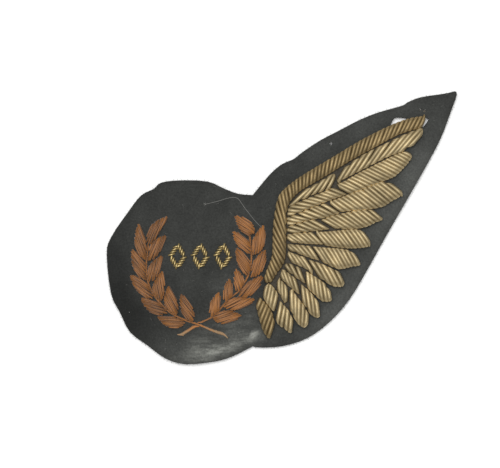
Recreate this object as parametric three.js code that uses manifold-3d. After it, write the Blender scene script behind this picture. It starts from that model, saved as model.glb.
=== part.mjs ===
// Half-wing cloth badge: a wreath and a single wing, hand embroidered on melton.
// Millimetres. The badge lies flat, face up: +Z out of the face, +X to the wing tip.
// The origin is the middle of the badge, on the underside of the lining.
import * as THREE from "three";
import { mergeVertices } from "three/addons/utils/BufferGeometryUtils.js";
import Module from "manifold-3d";

const wasm = await Module();
wasm.setup();

// Overall sizes of the cut cloth. The embroidery is drawn to it and follows both.
const BADGE_WIDTH = 91;
const BADGE_HEIGHT = 71;

// Layers, from the back to the face.
const LINING_THICKNESS = 0.3;
const CLOTH_THICKNESS = 1.2;
const PADDING_THICKNESS = 0.6;
const FEATHER_HEIGHT = 1.1;
const LEAF_HEIGHT = 0.95;
const STEM_HEIGHT = 0.75;
const CHIP_HEIGHT = 0.9;

// Widths and margins.
const LINING_MARGIN = 3;
const STEM_WIDTH = 0.7;
const ORNAMENT_WIDTH = 5.7;
const ORNAMENT_HEIGHT = 9.2;
const ORNAMENT_STROKE = 1.7;
const NEEDLE_HOLE_RADIUS = 0.3;

// Clear distance between one worked piece of gilt or silk and the next.
const STITCH_GAP = 0.35;
const SILK_GAP = 0.12;
// How far the lining keeps from the torn openings in the cloth.
const TEAR_MARGIN = 0.8;

// How far the dome over a stitched piece reaches past it, as a multiple of its half size.
const DOME_SPREAD = 1.6;

// How finely curves, domes, holes and leaves are drawn.
const CURVE_STEPS = 3;
const EDGE_STEPS = 2;
const DOME_SIDES = 16;
const HOLE_SIDES = 8;
const LEAF_STEPS = 8;

// A leaf is widest before its middle, full in the belly and blunt at its ends.
const LEAF_LEAN = 0.75;
const LEAF_BELLY = 0.7;
const LEAF_END_WIDTH = 0.24;

// Drawn points nearer to each other than this are one point.
const LEAST_STEP = 0.02;
// The distance within which two corners of a mesh are the same corner.
const WELD = 1e-4;
// An outline that is moved keeps the points that end up this share of the distance away.
const KEPT_SHARE = 0.98;
// How many points a loop in a moved outline can have.
const LONGEST_LOOP = 12;

// Seats: the height at which each layer starts.
const CLOTH_SEAT = LINING_THICKNESS;
const FACE = CLOTH_SEAT + CLOTH_THICKNESS;
const WING_SEAT = FACE + PADDING_THICKNESS;

// The drawing, in millimetres of the drawn size. Each list runs one way round.
const CLOTH_TOP_EDGE = [
  [-7.6, 8.7], [-3.2, 14], [0, 16.7], [3, 18], [5.3, 19.8], [10, 22.9], [15, 25.5],
  [20, 28.1], [25, 30.1], [31.3, 31.9], [32.8, 32.8], [36.2, 34.1], [42.3, 35], [45, 35.6],
];
const CLOTH_TRAILING_EDGE = [
  [45, 35.6], [45.5, 34.6], [44, 30.2], [41.4, 23.4], [37.8, 16.6], [32.6, 7.5], [27.7, -1],
  [22.8, -9.8], [17.6, -18.4], [12.4, -24.3], [6.6, -28.5], [0, -30.6], [-5.8, -30.9],
  [-7.6, -30.6],
];
const CLOTH_ROUNDEL_EDGE = [
  [-7.6, -30.6], [-12.9, -33.2], [-17.5, -34.5], [-25, -35.2], [-30.2, -33.8], [-35, -30.4],
  [-39.6, -26.9], [-42.2, -21.8], [-44.5, -16.9], [-45.6, -6.8], [-44.5, -2.3], [-40, 4.4],
  [-36.7, 8.6], [-33.4, 10.3], [-31.5, 11.9], [-26.6, 12.5], [-19.4, 12.2], [-14.9, 10.3],
  [-11.3, 9], [-7.6, 8.7],
];

// Two openings torn in the cloth beside the tip of the wing.
const TEARS = [
  [[28.3, 26.7], [29.2, 28.6], [31, 28.8], [32.8, 28.5], [33, 27.9], [30.8, 27.3]],
  [[37.3, 28.7], [37.9, 28.7], [38.2, 28.2], [37.2, 26.7], [36.4, 26.3], [36.6, 27.4]],
];
// Holes left by the needle that once sewed the badge to a tunic.
const NEEDLE_HOLES = [[36.1, 30.9], [37.2, 30.5], [12.8, 22.1]];

// The padding stops at the notches between the feather tips.
const PADDING = [
  [34.6, 25.5], [31.4, 20.6], [27.8, 13.4], [24.8, 6.2], [20.8, 0], [17.8, -5], [13.6, -9.9],
  [10.4, -13.8], [7.4, -17.8], [4.4, -20.6], [1.2, -22], [-1.6, -21], [-4.2, -18.6],
  [-3.4, -14.6], [-3.2, -11.4], [-1.6, -7.4], [-1.5, 0], [-0.8, 5.6], [0.6, 9], [4.4, 11.8],
  [12, 16.4], [20.8, 21.7], [28.6, 25.5], [33.4, 27],
];

const LEADING_EDGE = {
  upper: [
    [37, 28.8], [33, 28.2], [28.5, 26.6], [20.8, 22.8], [14, 18.7], [8, 15.1], [4, 12.6],
    [1.2, 10.4], [-0.7, 8.3], [-1.7, 4.9], [-2.3, -1], [-2.4, -7], [-3.3, -9.6], [-4.6, -13],
    [-4.1, -13.8],
  ],
  lower: [
    [-2.8, -13.4], [-1, -10.6], [0.4, -8.5], [0.9, -5], [1, 1.3], [1.2, 5.4], [2.6, 8],
    [5, 10.2], [8, 11.9], [13.3, 15], [18, 17.9], [24.5, 21.4], [30.3, 24.5], [36.3, 26.3],
  ],
};

// Each feather: its upper edge from the root to the tip, then its lower edge back.
const FEATHERS = {
  second_row_outer: {
    upper: [[15.6, 15], [20.6, 18.7], [25, 20.9], [30, 23.3], [34, 25.1], [36, 25.7], [36.3, 24.4]],
    lower: [[35.4, 23], [31.8, 20.3], [28, 18.9], [24.5, 17.2], [20.6, 15.2], [14.2, 12]],
    roundTip: true,
  },
  second_row_inner: {
    upper: [[2.4, 6.4], [5.5, 9.4], [9.4, 11.7], [12.8, 13.8], [13.6, 13.5]],
    lower: [[13.5, 12.4], [12.4, 10.5], [10.8, 9.9], [7.8, 8.8], [4.2, 7], [2.7, 6.1]],
    roundTip: true,
  },
  feather_01_outer: {
    upper: [[14.3, 11.2], [17, 12.4], [20, 14.2], [26.5, 17.4], [31.5, 19.7], [33.4, 19]],
    lower: [[32.3, 16.9], [29.2, 13.7], [26.5, 12.5], [20.7, 10.2], [17.4, 9]],
    roundTip: true,
  },
  feather_01_inner: {
    upper: [[2, 5.7], [6.2, 7.4], [9.7, 8.8], [13.5, 10.4]],
    lower: [[16.6, 9], [11, 6.9], [6.4, 5.1], [3, 3.7], [1.6, 3.3]],
  },
  feather_02_outer: {
    upper: [[12.4, 6.6], [16.5, 8.3], [21.5, 10.1], [25.7, 11.9], [28.5, 11.3], [31.1, 9.1]],
    lower: [[28, 7.1], [26, 5.8], [22.5, 5.1], [17.5, 4.7], [15, 4.5]],
    roundTip: true,
  },
  feather_02_inner: {
    upper: [[1.6, 2.7], [4.8, 3.9], [8, 5.3], [11.3, 6.3]],
    lower: [[14.6, 4.1], [11, 2.9], [6.5, 2.2], [2.5, 1], [1.6, 0.9]],
  },
  feather_03_outer: {
    upper: [[10.3, 2], [13, 3.1], [18, 4.2], [21.7, 5], [24.5, 3.9], [25.9, 2.6]],
    lower: [[24.2, 1.8], [21.7, 0.6], [19, 0.1], [15, 0], [12.3, 0.7]],
    roundTip: true,
  },
  feather_03_inner: {
    upper: [[1.7, 0.4], [5.3, 1.6], [7.6, 2.1], [9.5, 1.7]],
    lower: [[12.1, 0], [8.5, -0.5], [4, -1], [1.6, -0.9]],
  },
  feather_04_outer: {
    upper: [[9, -1.1], [12, -1], [18.3, -0.4], [21, -1], [22.8, -3.8]],
    lower: [[20.5, -4.8], [16, -4.9], [11.1, -4.2]],
    roundTip: true,
  },
  feather_04_inner: {
    upper: [[1.6, -1.7], [5, -1.3], [8.2, -1.2]],
    lower: [[10.5, -3.9], [7, -3.8], [3, -3.5], [1.6, -3]],
  },
  feather_05_outer: {
    upper: [[8.1, -4.9], [12, -5.2], [16.4, -5.6], [18.7, -6.7], [20.1, -9.1]],
    lower: [[18, -9.6], [14.5, -10.3], [11, -8.7]],
    roundTip: true,
  },
  feather_05_inner: {
    upper: [[1.6, -4.2], [3.8, -4.4], [7.6, -4.8]],
    lower: [[9.5, -8], [7.5, -7.5], [5, -6.6], [1.7, -5.3]],
  },
  feather_06_outer: {
    upper: [[7.1, -8.3], [10.3, -9.3], [13.6, -10.9], [15.1, -11.8], [16, -14.3]],
    lower: [[13.4, -14.8], [11.3, -13.6], [9.3, -12.1]],
    roundTip: true,
  },
  feather_06_inner: {
    upper: [[1.7, -6.2], [4.2, -7.1], [5.9, -7.6]],
    lower: [[8, -11.3], [5.3, -9.8], [2.5, -8.6], [1.7, -7.3]],
  },
  feather_07_outer: {
    upper: [[6.2, -11.3], [8.8, -12.8], [11.2, -14.6], [12.5, -16.8], [12.7, -18.4]],
    lower: [[10.4, -18.5], [8.2, -16.6], [7, -15.5]],
    roundTip: true,
  },
  feather_07_inner: {
    upper: [[0.9, -9.8], [1.5, -9.2], [3.2, -9.8], [5, -10.6]],
    lower: [[6.1, -14], [4.3, -13], [1.9, -11.1], [0.9, -10.4]],
  },
  feather_08_outer: {
    upper: [[4.9, -14.6], [7.3, -16.6], [9, -18.8], [9.7, -21.4], [9.6, -22.5]],
    lower: [[8.6, -22.7], [7.2, -21.7], [6.2, -20.2], [5.3, -18.6]],
    roundTip: true,
  },
  feather_08_inner: {
    upper: [[-0.2, -11.8], [0.2, -11], [1, -11.2], [3.7, -13.4]],
    lower: [[4.4, -16.8], [3, -15.7], [0.9, -13.9], [-0.3, -12.5]],
  },
  feather_09_outer: {
    upper: [[2.2, -15.7], [4.5, -18.6], [6.2, -21], [6.7, -23], [6.5, -24.8]],
    lower: [[5.4, -25.2], [3.7, -23.9], [2.6, -21.3], [2.1, -18.4]],
    roundTip: true,
  },
  feather_09_inner: {
    upper: [[-0.9, -13.4], [0, -13.9], [0.9, -14.9], [1.4, -16.8]],
    lower: [[1.2, -18.9], [0.1, -18.1], [-1.1, -15.5]],
  },
  feather_10_outer: {
    upper: [[-0.6, -19], [1.4, -21.1], [2.7, -23.7], [2.7, -25.6]],
    lower: [[2.2, -26.7], [0.4, -25.4], [-0.9, -24.6], [-1.5, -23], [-1.1, -21]],
    roundTip: true,
  },
  feather_10_inner: {
    upper: [[-4, -14.8], [-3, -14.8], [-2, -15.8], [-1.2, -17.3], [-1.5, -18.9]],
    lower: [[-2.1, -21.1], [-2.9, -20.4], [-4.8, -17.6], [-4.4, -15.6]],
  },
  feather_11: {
    upper: [[-5.9, -18], [-3.9, -20.2], [-2.4, -22.6], [-2.3, -25.4], [-3.2, -28]],
    lower: [[-4.1, -27.3], [-4.9, -26], [-5.8, -23], [-6.7, -19.4]],
    roundTip: true,
  },
};

// Each leaf: its base on the stem, its tip, its width, and how far its middle bows to the left
// of the line from base to tip.
const LEFT_LEAVES = [
  { base: [-34.6, -3.7], tip: [-29.9, 3], width: 2.5, bow: 0.8 },
  { base: [-35.9, -7.5], tip: [-37.3, 1], width: 2.8, bow: 0.3 },
  { base: [-34.6, -7.7], tip: [-30.3, -1.9], width: 2.9, bow: 0.3 },
  { base: [-35.5, -12.9], tip: [-38.9, -5.6], width: 3.1, bow: 0.15 },
  { base: [-34.5, -13.2], tip: [-31.3, -7.2], width: 2.8, bow: 0.2 },
  { base: [-34.1, -17.7], tip: [-39.4, -12.1], width: 2.9, bow: 0 },
  { base: [-32.3, -18.6], tip: [-31.1, -11.2], width: 2.9, bow: 0.35 },
  { base: [-30.3, -21.6], tip: [-36.6, -18.1], width: 2.9, bow: 0.5 },
  { base: [-28.1, -22.2], tip: [-29.6, -15.1], width: 3.1, bow: 0.25 },
  { base: [-25.8, -24.5], tip: [-32.3, -23], width: 2.7, bow: 0.5 },
  { base: [-23.8, -23.9], tip: [-26.3, -17.1], width: 2.8, bow: -0.1 },
];
const RIGHT_LEAVES = [
  { base: [-8, -1.5], tip: [-12.1, 3.2], width: 3.2, bow: -0.25 },
  { base: [-7.9, -6.3], tip: [-4.9, 0.6], width: 3.1, bow: -0.5 },
  { base: [-8.3, -6], tip: [-12.7, -0.8], width: 2.8, bow: 0.05 },
  { base: [-8, -12], tip: [-4.4, -5.7], width: 3, bow: -0.35 },
  { base: [-8.6, -11.8], tip: [-11.9, -5.1], width: 2.9, bow: -0.1 },
  { base: [-10.9, -17], tip: [-5, -12.4], width: 3, bow: -0.4 },
  { base: [-10.9, -16.4], tip: [-12, -10.7], width: 2.7, bow: -0.3 },
  { base: [-15, -19.6], tip: [-7.1, -18.4], width: 2.9, bow: -0.3 },
  { base: [-14.5, -18.6], tip: [-13.7, -13.1], width: 2.3, bow: -0.15 },
  { base: [-17.4, -23], tip: [-10.7, -22.6], width: 3.2, bow: 0 },
  { base: [-18, -22.7], tip: [-16.4, -16.6], width: 2.6, bow: 0.15 },
];

// The stems run from the top of the wreath to their crossed tails at the bottom.
// The left stem is worked over the right one, whose tail starts again on its far side.
const LEFT_STEM = [
  [-34.6, -4], [-35.2, -7.5], [-35.3, -10], [-35, -13.5], [-33.8, -16.5], [-32, -19],
  [-29.5, -21.5], [-27, -23], [-24.5, -24], [-22, -24.8], [-20, -25.6], [-18, -26.5],
  [-14.4, -27.6],
];
const RIGHT_STEM = [
  [-8.5, -1.2], [-8.2, -4], [-7.9, -7], [-8.2, -10], [-8.7, -12], [-10, -14.5], [-11.5, -16.5],
  [-13.5, -18], [-15.3, -20], [-17.2, -22], [-18.5, -23.2], [-20.4, -24], [-22, -24.9],
];
const RIGHT_TAIL = [[-20.4, -24], [-22, -24.9], [-23.7, -26], [-26.6, -27.8]];

// A row of three lozenges fills the middle of the wreath.
const ORNAMENTS = {
  ornament_left: [-27.2, -7.2],
  ornament_middle: [-21.3, -7.2],
  ornament_right: [-15.4, -7.2],
};

const MATERIALS = {
  lining: new THREE.MeshStandardMaterial({ color: 0x8f887a, roughness: 0.9, metalness: 0 }),
  cloth: new THREE.MeshStandardMaterial({ color: 0x3b3c3a, roughness: 0.95, metalness: 0 }),
  padding: new THREE.MeshStandardMaterial({ color: 0x33302b, roughness: 0.95, metalness: 0 }),
  gold: new THREE.MeshStandardMaterial({ color: 0xb09a68, roughness: 0.4, metalness: 0.8 }),
  silk: new THREE.MeshStandardMaterial({ color: 0xa5673f, roughness: 0.5, metalness: 0 }),
};

// The box of the drawn cloth, from which every drawn point is placed on the badge.
const drawnBox = new THREE.Box2().setFromPoints(
  splinePoints([...CLOTH_TOP_EDGE, ...CLOTH_TRAILING_EDGE, ...CLOTH_ROUNDEL_EDGE], 1),
);
const drawnCentre = drawnBox.getCenter(new THREE.Vector2());
const drawnSize = drawnBox.getSize(new THREE.Vector2());

// The points of a smooth line through a list of x, y, or the list itself where steps is 1.
function splinePoints(list, steps) {
  const points = list.map(([x, y]) => new THREE.Vector2(x, y));
  return steps > 1 ? new THREE.SplineCurve(points).getPoints((list.length - 1) * steps) : points;
}

// A drawn point, moved and scaled to the badge.
function placed(point) {
  return new THREE.Vector2(
    ((point.x - drawnCentre.x) * BADGE_WIDTH) / drawnSize.x,
    ((point.y - drawnCentre.y) * BADGE_HEIGHT) / drawnSize.y,
  );
}

// A closed outline of smooth edges that meet at corners.
function outlineOf(edges, steps = CURVE_STEPS) {
  const points = edges.flatMap((edge) => splinePoints(edge, steps)).map(placed);
  const kept = points.filter((p, i) => p.distanceTo(points[(i + 1) % points.length]) > LEAST_STEP);
  return THREE.ShapeUtils.area(kept) < 0 ? kept.reverse() : kept;
}

// How far a point is from an outline.
function distanceTo(outline, point) {
  const spot = new THREE.Vector3(point.x, point.y, 0);
  const near = new THREE.Vector3();
  return Math.min(...outline.map((p, i) => {
    const next = outline[(i + 1) % outline.length];
    const line = new THREE.Line3(
      new THREE.Vector3(p.x, p.y, 0),
      new THREE.Vector3(next.x, next.y, 0),
    );
    return line.closestPointToPoint(spot, true, near).distanceTo(spot);
  }));
}

// Which side of the line from a to b the point c lies on: 1 is the left, -1 the right.
function side(a, b, c) {
  return Math.sign((b.x - a.x) * (c.y - a.y) - (b.y - a.y) * (c.x - a.x));
}

// Whether the line from a to b crosses the line from c to d.
function cross(a, b, c, d) {
  return side(a, b, c) !== side(a, b, d) && side(c, d, a) !== side(c, d, b);
}

// The outline without the small loops where it crosses itself.
function withoutLoops(points) {
  const kept = [...points];
  for (let i = 0; i < kept.length - 3; i += 1) {
    for (let j = i + 2; j < Math.min(i + LONGEST_LOOP, kept.length - 1); j += 1) {
      if (cross(kept[i], kept[i + 1], kept[j], kept[j + 1])) {
        kept.splice(i + 1, j - i);
        j = i + 1;
      }
    }
  }
  return kept;
}

// The outline moved outwards by a distance, or inwards where it is negative. Points that a
// narrow corner would carry across to its other side are left out.
function moved(outline, distance) {
  const points = outline.map((p, i) => {
    const before = outline[(i + outline.length - 1) % outline.length];
    const after = outline[(i + 1) % outline.length];
    const along = after.clone().sub(before).normalize();
    return new THREE.Vector2(p.x + along.y * distance, p.y - along.x * distance);
  });
  return withoutLoops(points.filter((p) => distanceTo(outline, p) > KEPT_SHARE * Math.abs(distance)));
}

// A geometry that holds only its positions, each one once.
function bare(geometry) {
  const plain = geometry.clone();
  plain.deleteAttribute("normal");
  plain.deleteAttribute("uv");
  return mergeVertices(plain, WELD);
}

// A manifold-3d solid of a closed three.js geometry, and the geometry of a solid.
function solidFrom(geometry) {
  const merged = bare(geometry);
  return new wasm.Manifold(new wasm.Mesh({
    numProp: 3,
    vertProperties: new Float32Array(merged.attributes.position.array),
    triVerts: new Uint32Array(merged.index.array),
  }));
}

function geometryFrom(solid) {
  const mesh = solid.getMesh();
  const geometry = new THREE.BufferGeometry();
  geometry.setAttribute("position", new THREE.BufferAttribute(mesh.vertProperties, 3));
  geometry.setIndex(new THREE.BufferAttribute(mesh.triVerts, 1));
  geometry.computeVertexNormals();
  return geometry;
}

// The biggest body of a solid: what is left of a piece once its neighbours have cut it.
function mainBody(solid) {
  return solid.decompose().reduce((a, b) => (b.volume() > a.volume() ? b : a));
}

// A flat slab from one height up to another.
function slab(outline, low, high, holes = []) {
  const shape = new THREE.Shape(outline);
  shape.holes = holes.map((hole) => new THREE.Path(hole));
  const geometry = new THREE.ExtrudeGeometry(shape, { depth: high - low, bevelEnabled: false });
  return geometry.translate(0, 0, low);
}

// The middle, direction and half lengths of an outline, along and across its longest line.
function spanOf(outline) {
  let [start, end] = outline;
  for (const p of outline) {
    for (const q of outline) {
      if (p.distanceTo(q) > start.distanceTo(end)) [start, end] = [p, q];
    }
  }
  const middle = start.clone().add(end).divideScalar(2);
  const turn = end.clone().sub(start).angle();
  const half = new THREE.Vector2();
  for (const p of outline) {
    const own = p.clone().rotateAround(middle, -turn).sub(middle);
    half.x = Math.max(half.x, Math.abs(own.x));
    half.y = Math.max(half.y, Math.abs(own.y));
  }
  return { middle, turn, half };
}

// A slab with a domed top, highest at its middle, as stitches laid over a filling are.
function cushion(outline, low, height) {
  const { middle, turn, half } = spanOf(outline);
  const dome = bare(new THREE.SphereGeometry(1, DOME_SIDES, DOME_SIDES / 2).rotateX(Math.PI / 2));
  dome.scale(DOME_SPREAD * half.x, DOME_SPREAD * half.y, height);
  dome.rotateZ(turn).translate(middle.x, middle.y, low);
  return solidFrom(slab(outline, low, low + height)).intersect(solidFrom(dome));
}

// The space that a piece keeps clear round its outline.
function clearSpace(outline, gap) {
  return solidFrom(slab(moved(outline, gap), 0, WING_SEAT + 2 * FEATHER_HEIGHT));
}

// The outline of a stem of one width along a drawn line.
function ribbon(line) {
  const middle = splinePoints(line, EDGE_STEPS).map(placed);
  const sides = middle.map((p, i) => {
    const before = middle[Math.max(i - 1, 0)];
    const after = middle[Math.min(i + 1, middle.length - 1)];
    const across = after.clone().sub(before).normalize().multiplyScalar(STEM_WIDTH / 2);
    return [
      new THREE.Vector2(p.x - across.y, p.y + across.x),
      new THREE.Vector2(p.x + across.y, p.y - across.x),
    ];
  });
  return [...sides.map((s) => s[1]), ...sides.map((s) => s[0]).reverse()];
}

// The outline of a leaf: widest at two fifths of its length, with pointed ends.
function leafOutline({ base, tip, width, bow }) {
  const start = placed(new THREE.Vector2(...base));
  const end = placed(new THREE.Vector2(...tip));
  const along = end.clone().sub(start);
  const across = new THREE.Vector2(-along.y, along.x).normalize();
  const edge = (sign) => {
    const points = [];
    for (let i = 0; i <= LEAF_STEPS; i += 1) {
      const t = i / LEAF_STEPS;
      const full = width * Math.sin(Math.PI * t ** LEAF_LEAN) ** LEAF_BELLY;
      const half = Math.max(full, LEAF_END_WIDTH) / 2;
      const offset = bow * Math.sin(Math.PI * t) + sign * half;
      points.push(start.clone().addScaledVector(along, t).addScaledVector(across, offset));
    }
    return points;
  };
  return [...edge(-1), ...edge(1).reverse()];
}

const badge = new THREE.Group();
badge.name = "badge";

// Puts a named piece on the badge.
function addPiece(name, geometry, material) {
  const mesh = new THREE.Mesh(geometry, material);
  mesh.name = name;
  badge.add(mesh);
}

// Pieces worked on one layer, in order: each is cut back from those before it.
const worked = [];
function addWorked(name, outline, solidOfPiece, material, gap) {
  let solid = solidOfPiece;
  for (const space of worked) {
    if (solid.intersect(space).volume() > 0) solid = solid.subtract(space);
  }
  worked.push(clearSpace(outline, gap));
  addPiece(name, geometryFrom(mainBody(solid)), material);
}

// The ground: cloth with its tears and needle holes, and the lining behind it.
const clothOutline = outlineOf([CLOTH_TOP_EDGE, CLOTH_TRAILING_EDGE, CLOTH_ROUNDEL_EDGE]);
const tears = TEARS.map((tear) => outlineOf([[...tear, tear[0]]], EDGE_STEPS));
const needleHoles = NEEDLE_HOLES.map(([x, y]) => {
  const centre = placed(new THREE.Vector2(x, y));
  const circle = new THREE.Path().absarc(centre.x, centre.y, NEEDLE_HOLE_RADIUS, 0, 2 * Math.PI);
  return circle.getPoints(HOLE_SIDES).slice(0, -1);
});
addPiece(
  "melton_cloth",
  slab(clothOutline, CLOTH_SEAT, FACE, [...tears, ...needleHoles]),
  MATERIALS.cloth,
);

const liningSolid = solidFrom(slab(moved(clothOutline, -LINING_MARGIN), 0, LINING_THICKNESS));
const tearSpaces = tears.map((tear) => solidFrom(
  slab(moved(tear, TEAR_MARGIN), -LINING_THICKNESS, 2 * LINING_THICKNESS),
));
addPiece(
  "reverse_lining",
  geometryFrom(mainBody(tearSpaces.reduce((rest, space) => rest.subtract(space), liningSolid))),
  MATERIALS.lining,
);

// The wing.
const paddingOutline = outlineOf([[...PADDING, PADDING[0]]], EDGE_STEPS);
addPiece("wing_padding", slab(paddingOutline, FACE, WING_SEAT), MATERIALS.padding);

// A feather has a smooth round tip, or a straight seam where the next part of it starts.
function featherOutline({ upper, lower, roundTip }) {
  return outlineOf(roundTip ? [[...upper, ...lower]] : [upper, lower], EDGE_STEPS);
}
const edgeOutline = featherOutline(LEADING_EDGE);
const edgeSolid = solidFrom(slab(edgeOutline, WING_SEAT, WING_SEAT + FEATHER_HEIGHT));
addWorked("leading_edge", edgeOutline, edgeSolid, MATERIALS.gold, STITCH_GAP);
for (const [name, feather] of Object.entries(FEATHERS)) {
  const outline = featherOutline(feather);
  const solid = cushion(outline, WING_SEAT, FEATHER_HEIGHT);
  addWorked(name, outline, solid, MATERIALS.gold, STITCH_GAP);
}

// The wreath.
for (const [name, line] of [
  ["stem_left", LEFT_STEM],
  ["stem_right", RIGHT_STEM],
  ["stem_right_tail", RIGHT_TAIL],
]) {
  const outline = ribbon(line);
  const solid = solidFrom(slab(outline, FACE, FACE + STEM_HEIGHT));
  addWorked(name, outline, solid, MATERIALS.silk, SILK_GAP);
}
for (const [branch, leaves] of [["left", LEFT_LEAVES], ["right", RIGHT_LEAVES]]) {
  leaves.forEach((leaf, i) => {
    const name = "leaf_" + branch + "_" + String(i + 1).padStart(2, "0");
    const outline = leafOutline(leaf);
    addWorked(name, outline, cushion(outline, FACE, LEAF_HEIGHT), MATERIALS.silk, SILK_GAP);
  });
}

// The ornaments.
for (const [name, [x, y]] of Object.entries(ORNAMENTS)) {
  const centre = placed(new THREE.Vector2(x, y));
  const lozenge = (width, height) => [
    [width / 2, 0], [0, height / 2], [-width / 2, 0], [0, -height / 2],
  ].map(([dx, dy]) => new THREE.Vector2(centre.x + dx, centre.y + dy));
  const outside = lozenge(ORNAMENT_WIDTH, ORNAMENT_HEIGHT);
  const slope = Math.hypot(ORNAMENT_WIDTH, ORNAMENT_HEIGHT);
  const inside = lozenge(
    ORNAMENT_WIDTH - (2 * ORNAMENT_STROKE * slope) / ORNAMENT_HEIGHT,
    ORNAMENT_HEIGHT - (2 * ORNAMENT_STROKE * slope) / ORNAMENT_WIDTH,
  );
  addPiece(name, slab(outside, FACE, FACE + CHIP_HEIGHT, [inside]), MATERIALS.gold);
}

export default badge;
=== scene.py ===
"""Half-wing cloth badge, dressed round its CAD frame.

A wing of gilt purls over felt, a silk laurel wreath and three gilt lozenges, all worked on
dark melton with a cotton lining behind.
"""

import math
import random

import bmesh
import bpy
import numpy as np
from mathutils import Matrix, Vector, noise


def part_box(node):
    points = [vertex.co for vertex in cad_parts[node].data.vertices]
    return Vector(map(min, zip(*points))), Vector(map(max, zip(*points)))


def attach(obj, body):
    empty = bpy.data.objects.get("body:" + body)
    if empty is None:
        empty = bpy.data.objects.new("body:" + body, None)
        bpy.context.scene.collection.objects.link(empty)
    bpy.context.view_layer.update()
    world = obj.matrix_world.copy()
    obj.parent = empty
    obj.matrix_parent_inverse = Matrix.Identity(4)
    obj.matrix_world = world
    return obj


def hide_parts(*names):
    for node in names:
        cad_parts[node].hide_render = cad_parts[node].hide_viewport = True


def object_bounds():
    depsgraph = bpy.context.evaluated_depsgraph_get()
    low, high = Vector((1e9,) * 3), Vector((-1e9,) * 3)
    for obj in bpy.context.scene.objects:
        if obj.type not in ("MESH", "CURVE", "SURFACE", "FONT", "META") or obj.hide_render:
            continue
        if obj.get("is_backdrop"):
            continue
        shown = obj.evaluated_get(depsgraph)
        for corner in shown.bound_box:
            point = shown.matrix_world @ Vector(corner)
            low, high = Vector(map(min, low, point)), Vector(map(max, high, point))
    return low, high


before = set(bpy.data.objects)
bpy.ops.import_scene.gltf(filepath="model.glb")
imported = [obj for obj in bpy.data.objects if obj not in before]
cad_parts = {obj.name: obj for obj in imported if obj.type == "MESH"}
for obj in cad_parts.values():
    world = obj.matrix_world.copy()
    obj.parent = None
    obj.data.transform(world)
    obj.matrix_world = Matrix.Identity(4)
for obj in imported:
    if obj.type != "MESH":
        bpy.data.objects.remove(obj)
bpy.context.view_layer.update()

bl_info = {
    "name": "Half-wing cloth badge",
    "version": (1, 0, 0),
    "blender": (4, 5, 0),
    "location": "3D View > Sidebar > Badge",
    "description": "Works the purls, silk and cloth of an embroidered half-wing badge",
    "category": "Add Mesh",
}

MM = 0.001
SEED = 11


def linear(code):
    """A colour written as an sRGB hex value, as linear red, green and blue."""
    shares = [int(code[i:i + 2], 16) / 255 for i in (1, 3, 5)]
    return tuple(c / 12.92 if c <= 0.04045 else ((c + 0.055) / 1.055) ** 2.4 for c in shares)


# How the purls lie on each part of the wing: the angle of a purl at the root of the part and
# at its tip, in degrees anticlockwise from the wing's length, and its share of the full pitch.
FEATHER_LAY = {
    "second_row_outer": (60, 50, 1.06), "second_row_inner": (42, 63, 1),
    "feather_01_outer": (-27, -30, 0.97), "feather_01_inner": (-3, -27, 1),
    "feather_02_outer": (-36, -40, 1.03), "feather_02_inner": (-10, -32, 1),
    "feather_03_outer": (-32, -42, 1), "feather_03_inner": (-12, -33, 1),
    "feather_04_outer": (-50, -57, 1), "feather_04_inner": (-35, -50, 1),
    "feather_05_outer": (-57, -64, 1.03), "feather_05_inner": (-42, -60, 1),
    "feather_06_outer": (-58, -66, 1.08), "feather_06_inner": (-60, -56, 1),
    "feather_07_outer": (-86, -80, 1), "feather_07_inner": (-58, -74, 1),
    "feather_08_outer": (-84, -84, 1.03), "feather_08_inner": (-68, -80, 1),
    "feather_09_outer": (-88, -95, 1.08), "feather_09_inner": (-84, -93, 1),
    "feather_10_outer": (-102, -97, 1.08), "feather_10_inner": (-100, -104, 1.05),
    "feather_11": (-118, -108, 1.12),
}
# The leading edge turns round the shoulder: share of its length from the tip, and angle.
LEADING_EDGE_LAY = (
    (0, 63), (0.21, 72), (0.4, 79), (0.54, 88), (0.64, 102), (0.7, 104), (0.78, 114),
    (0.86, 122), (0.93, 117), (1, 110),
)
# How far past the ends of a part its purls are sought.
MARGIN = 14 * MM
# The step in which a part is searched for places for its purls, and the shortest stretch found.
TRY_STEP = 0.1 * MM
# The steepest slant of a purl's cut end, as length for each unit across.
MOST_SLANT = 1.4
# The shoulder of the wing, from which every feather grows.
SHOULDER = np.array((0, 2)) * MM

# The crossed tails of the stems are bleached from this height down, over this length.
TAIL_TOP = -24.6 * MM
TAIL_FADE = 2 * MM

# Swells and creases in the cloth: x, y, half length and half width (mm), turn (degrees) and
# height (mm).
SWELLS = (
    (-46, -8, 22, 7, 92, 0.7),
    (-27, 14, 14, 4, 5, 0.5),
    (-24, -35, 12, 5, -10, 0.5),
    (-13.5, -30.6, 8, 0.9, 21, 0.35),
    (-7.6, -27.8, 0.9, 0.6, 20, 0.5),
    (46, 36, 5, 3, 40, 0.7),
    (33, 8, 12, 3, 60, 0.4),
    (4, 19, 12, 3, 35, 0.4),
)
# Where the nap is rubbed and chalky, which is partly painted highlight where the creased cloth at
# the bottom of the roundel catches the light, and the small strong spot last is a painted
# highlight on a crease: as above, with a strength in place of the height.
WEAR_AND_HIGHLIGHT_PATCHES = (
    (-16, -28, 8, 3.5, 18, 0.24),
    (-12.5, -30.5, 8, 1.4, 21, 0.45),
    (-19, -32, 8, 2.2, 8, 0.35),
    (-8.5, -23.5, 3, 5, 10, 0.1),
    (-14.5, -14.5, 4, 3, 30, 0.08),
    (-7.4, -27.8, 0.9, 0.6, 20, 1.6),
)
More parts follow.
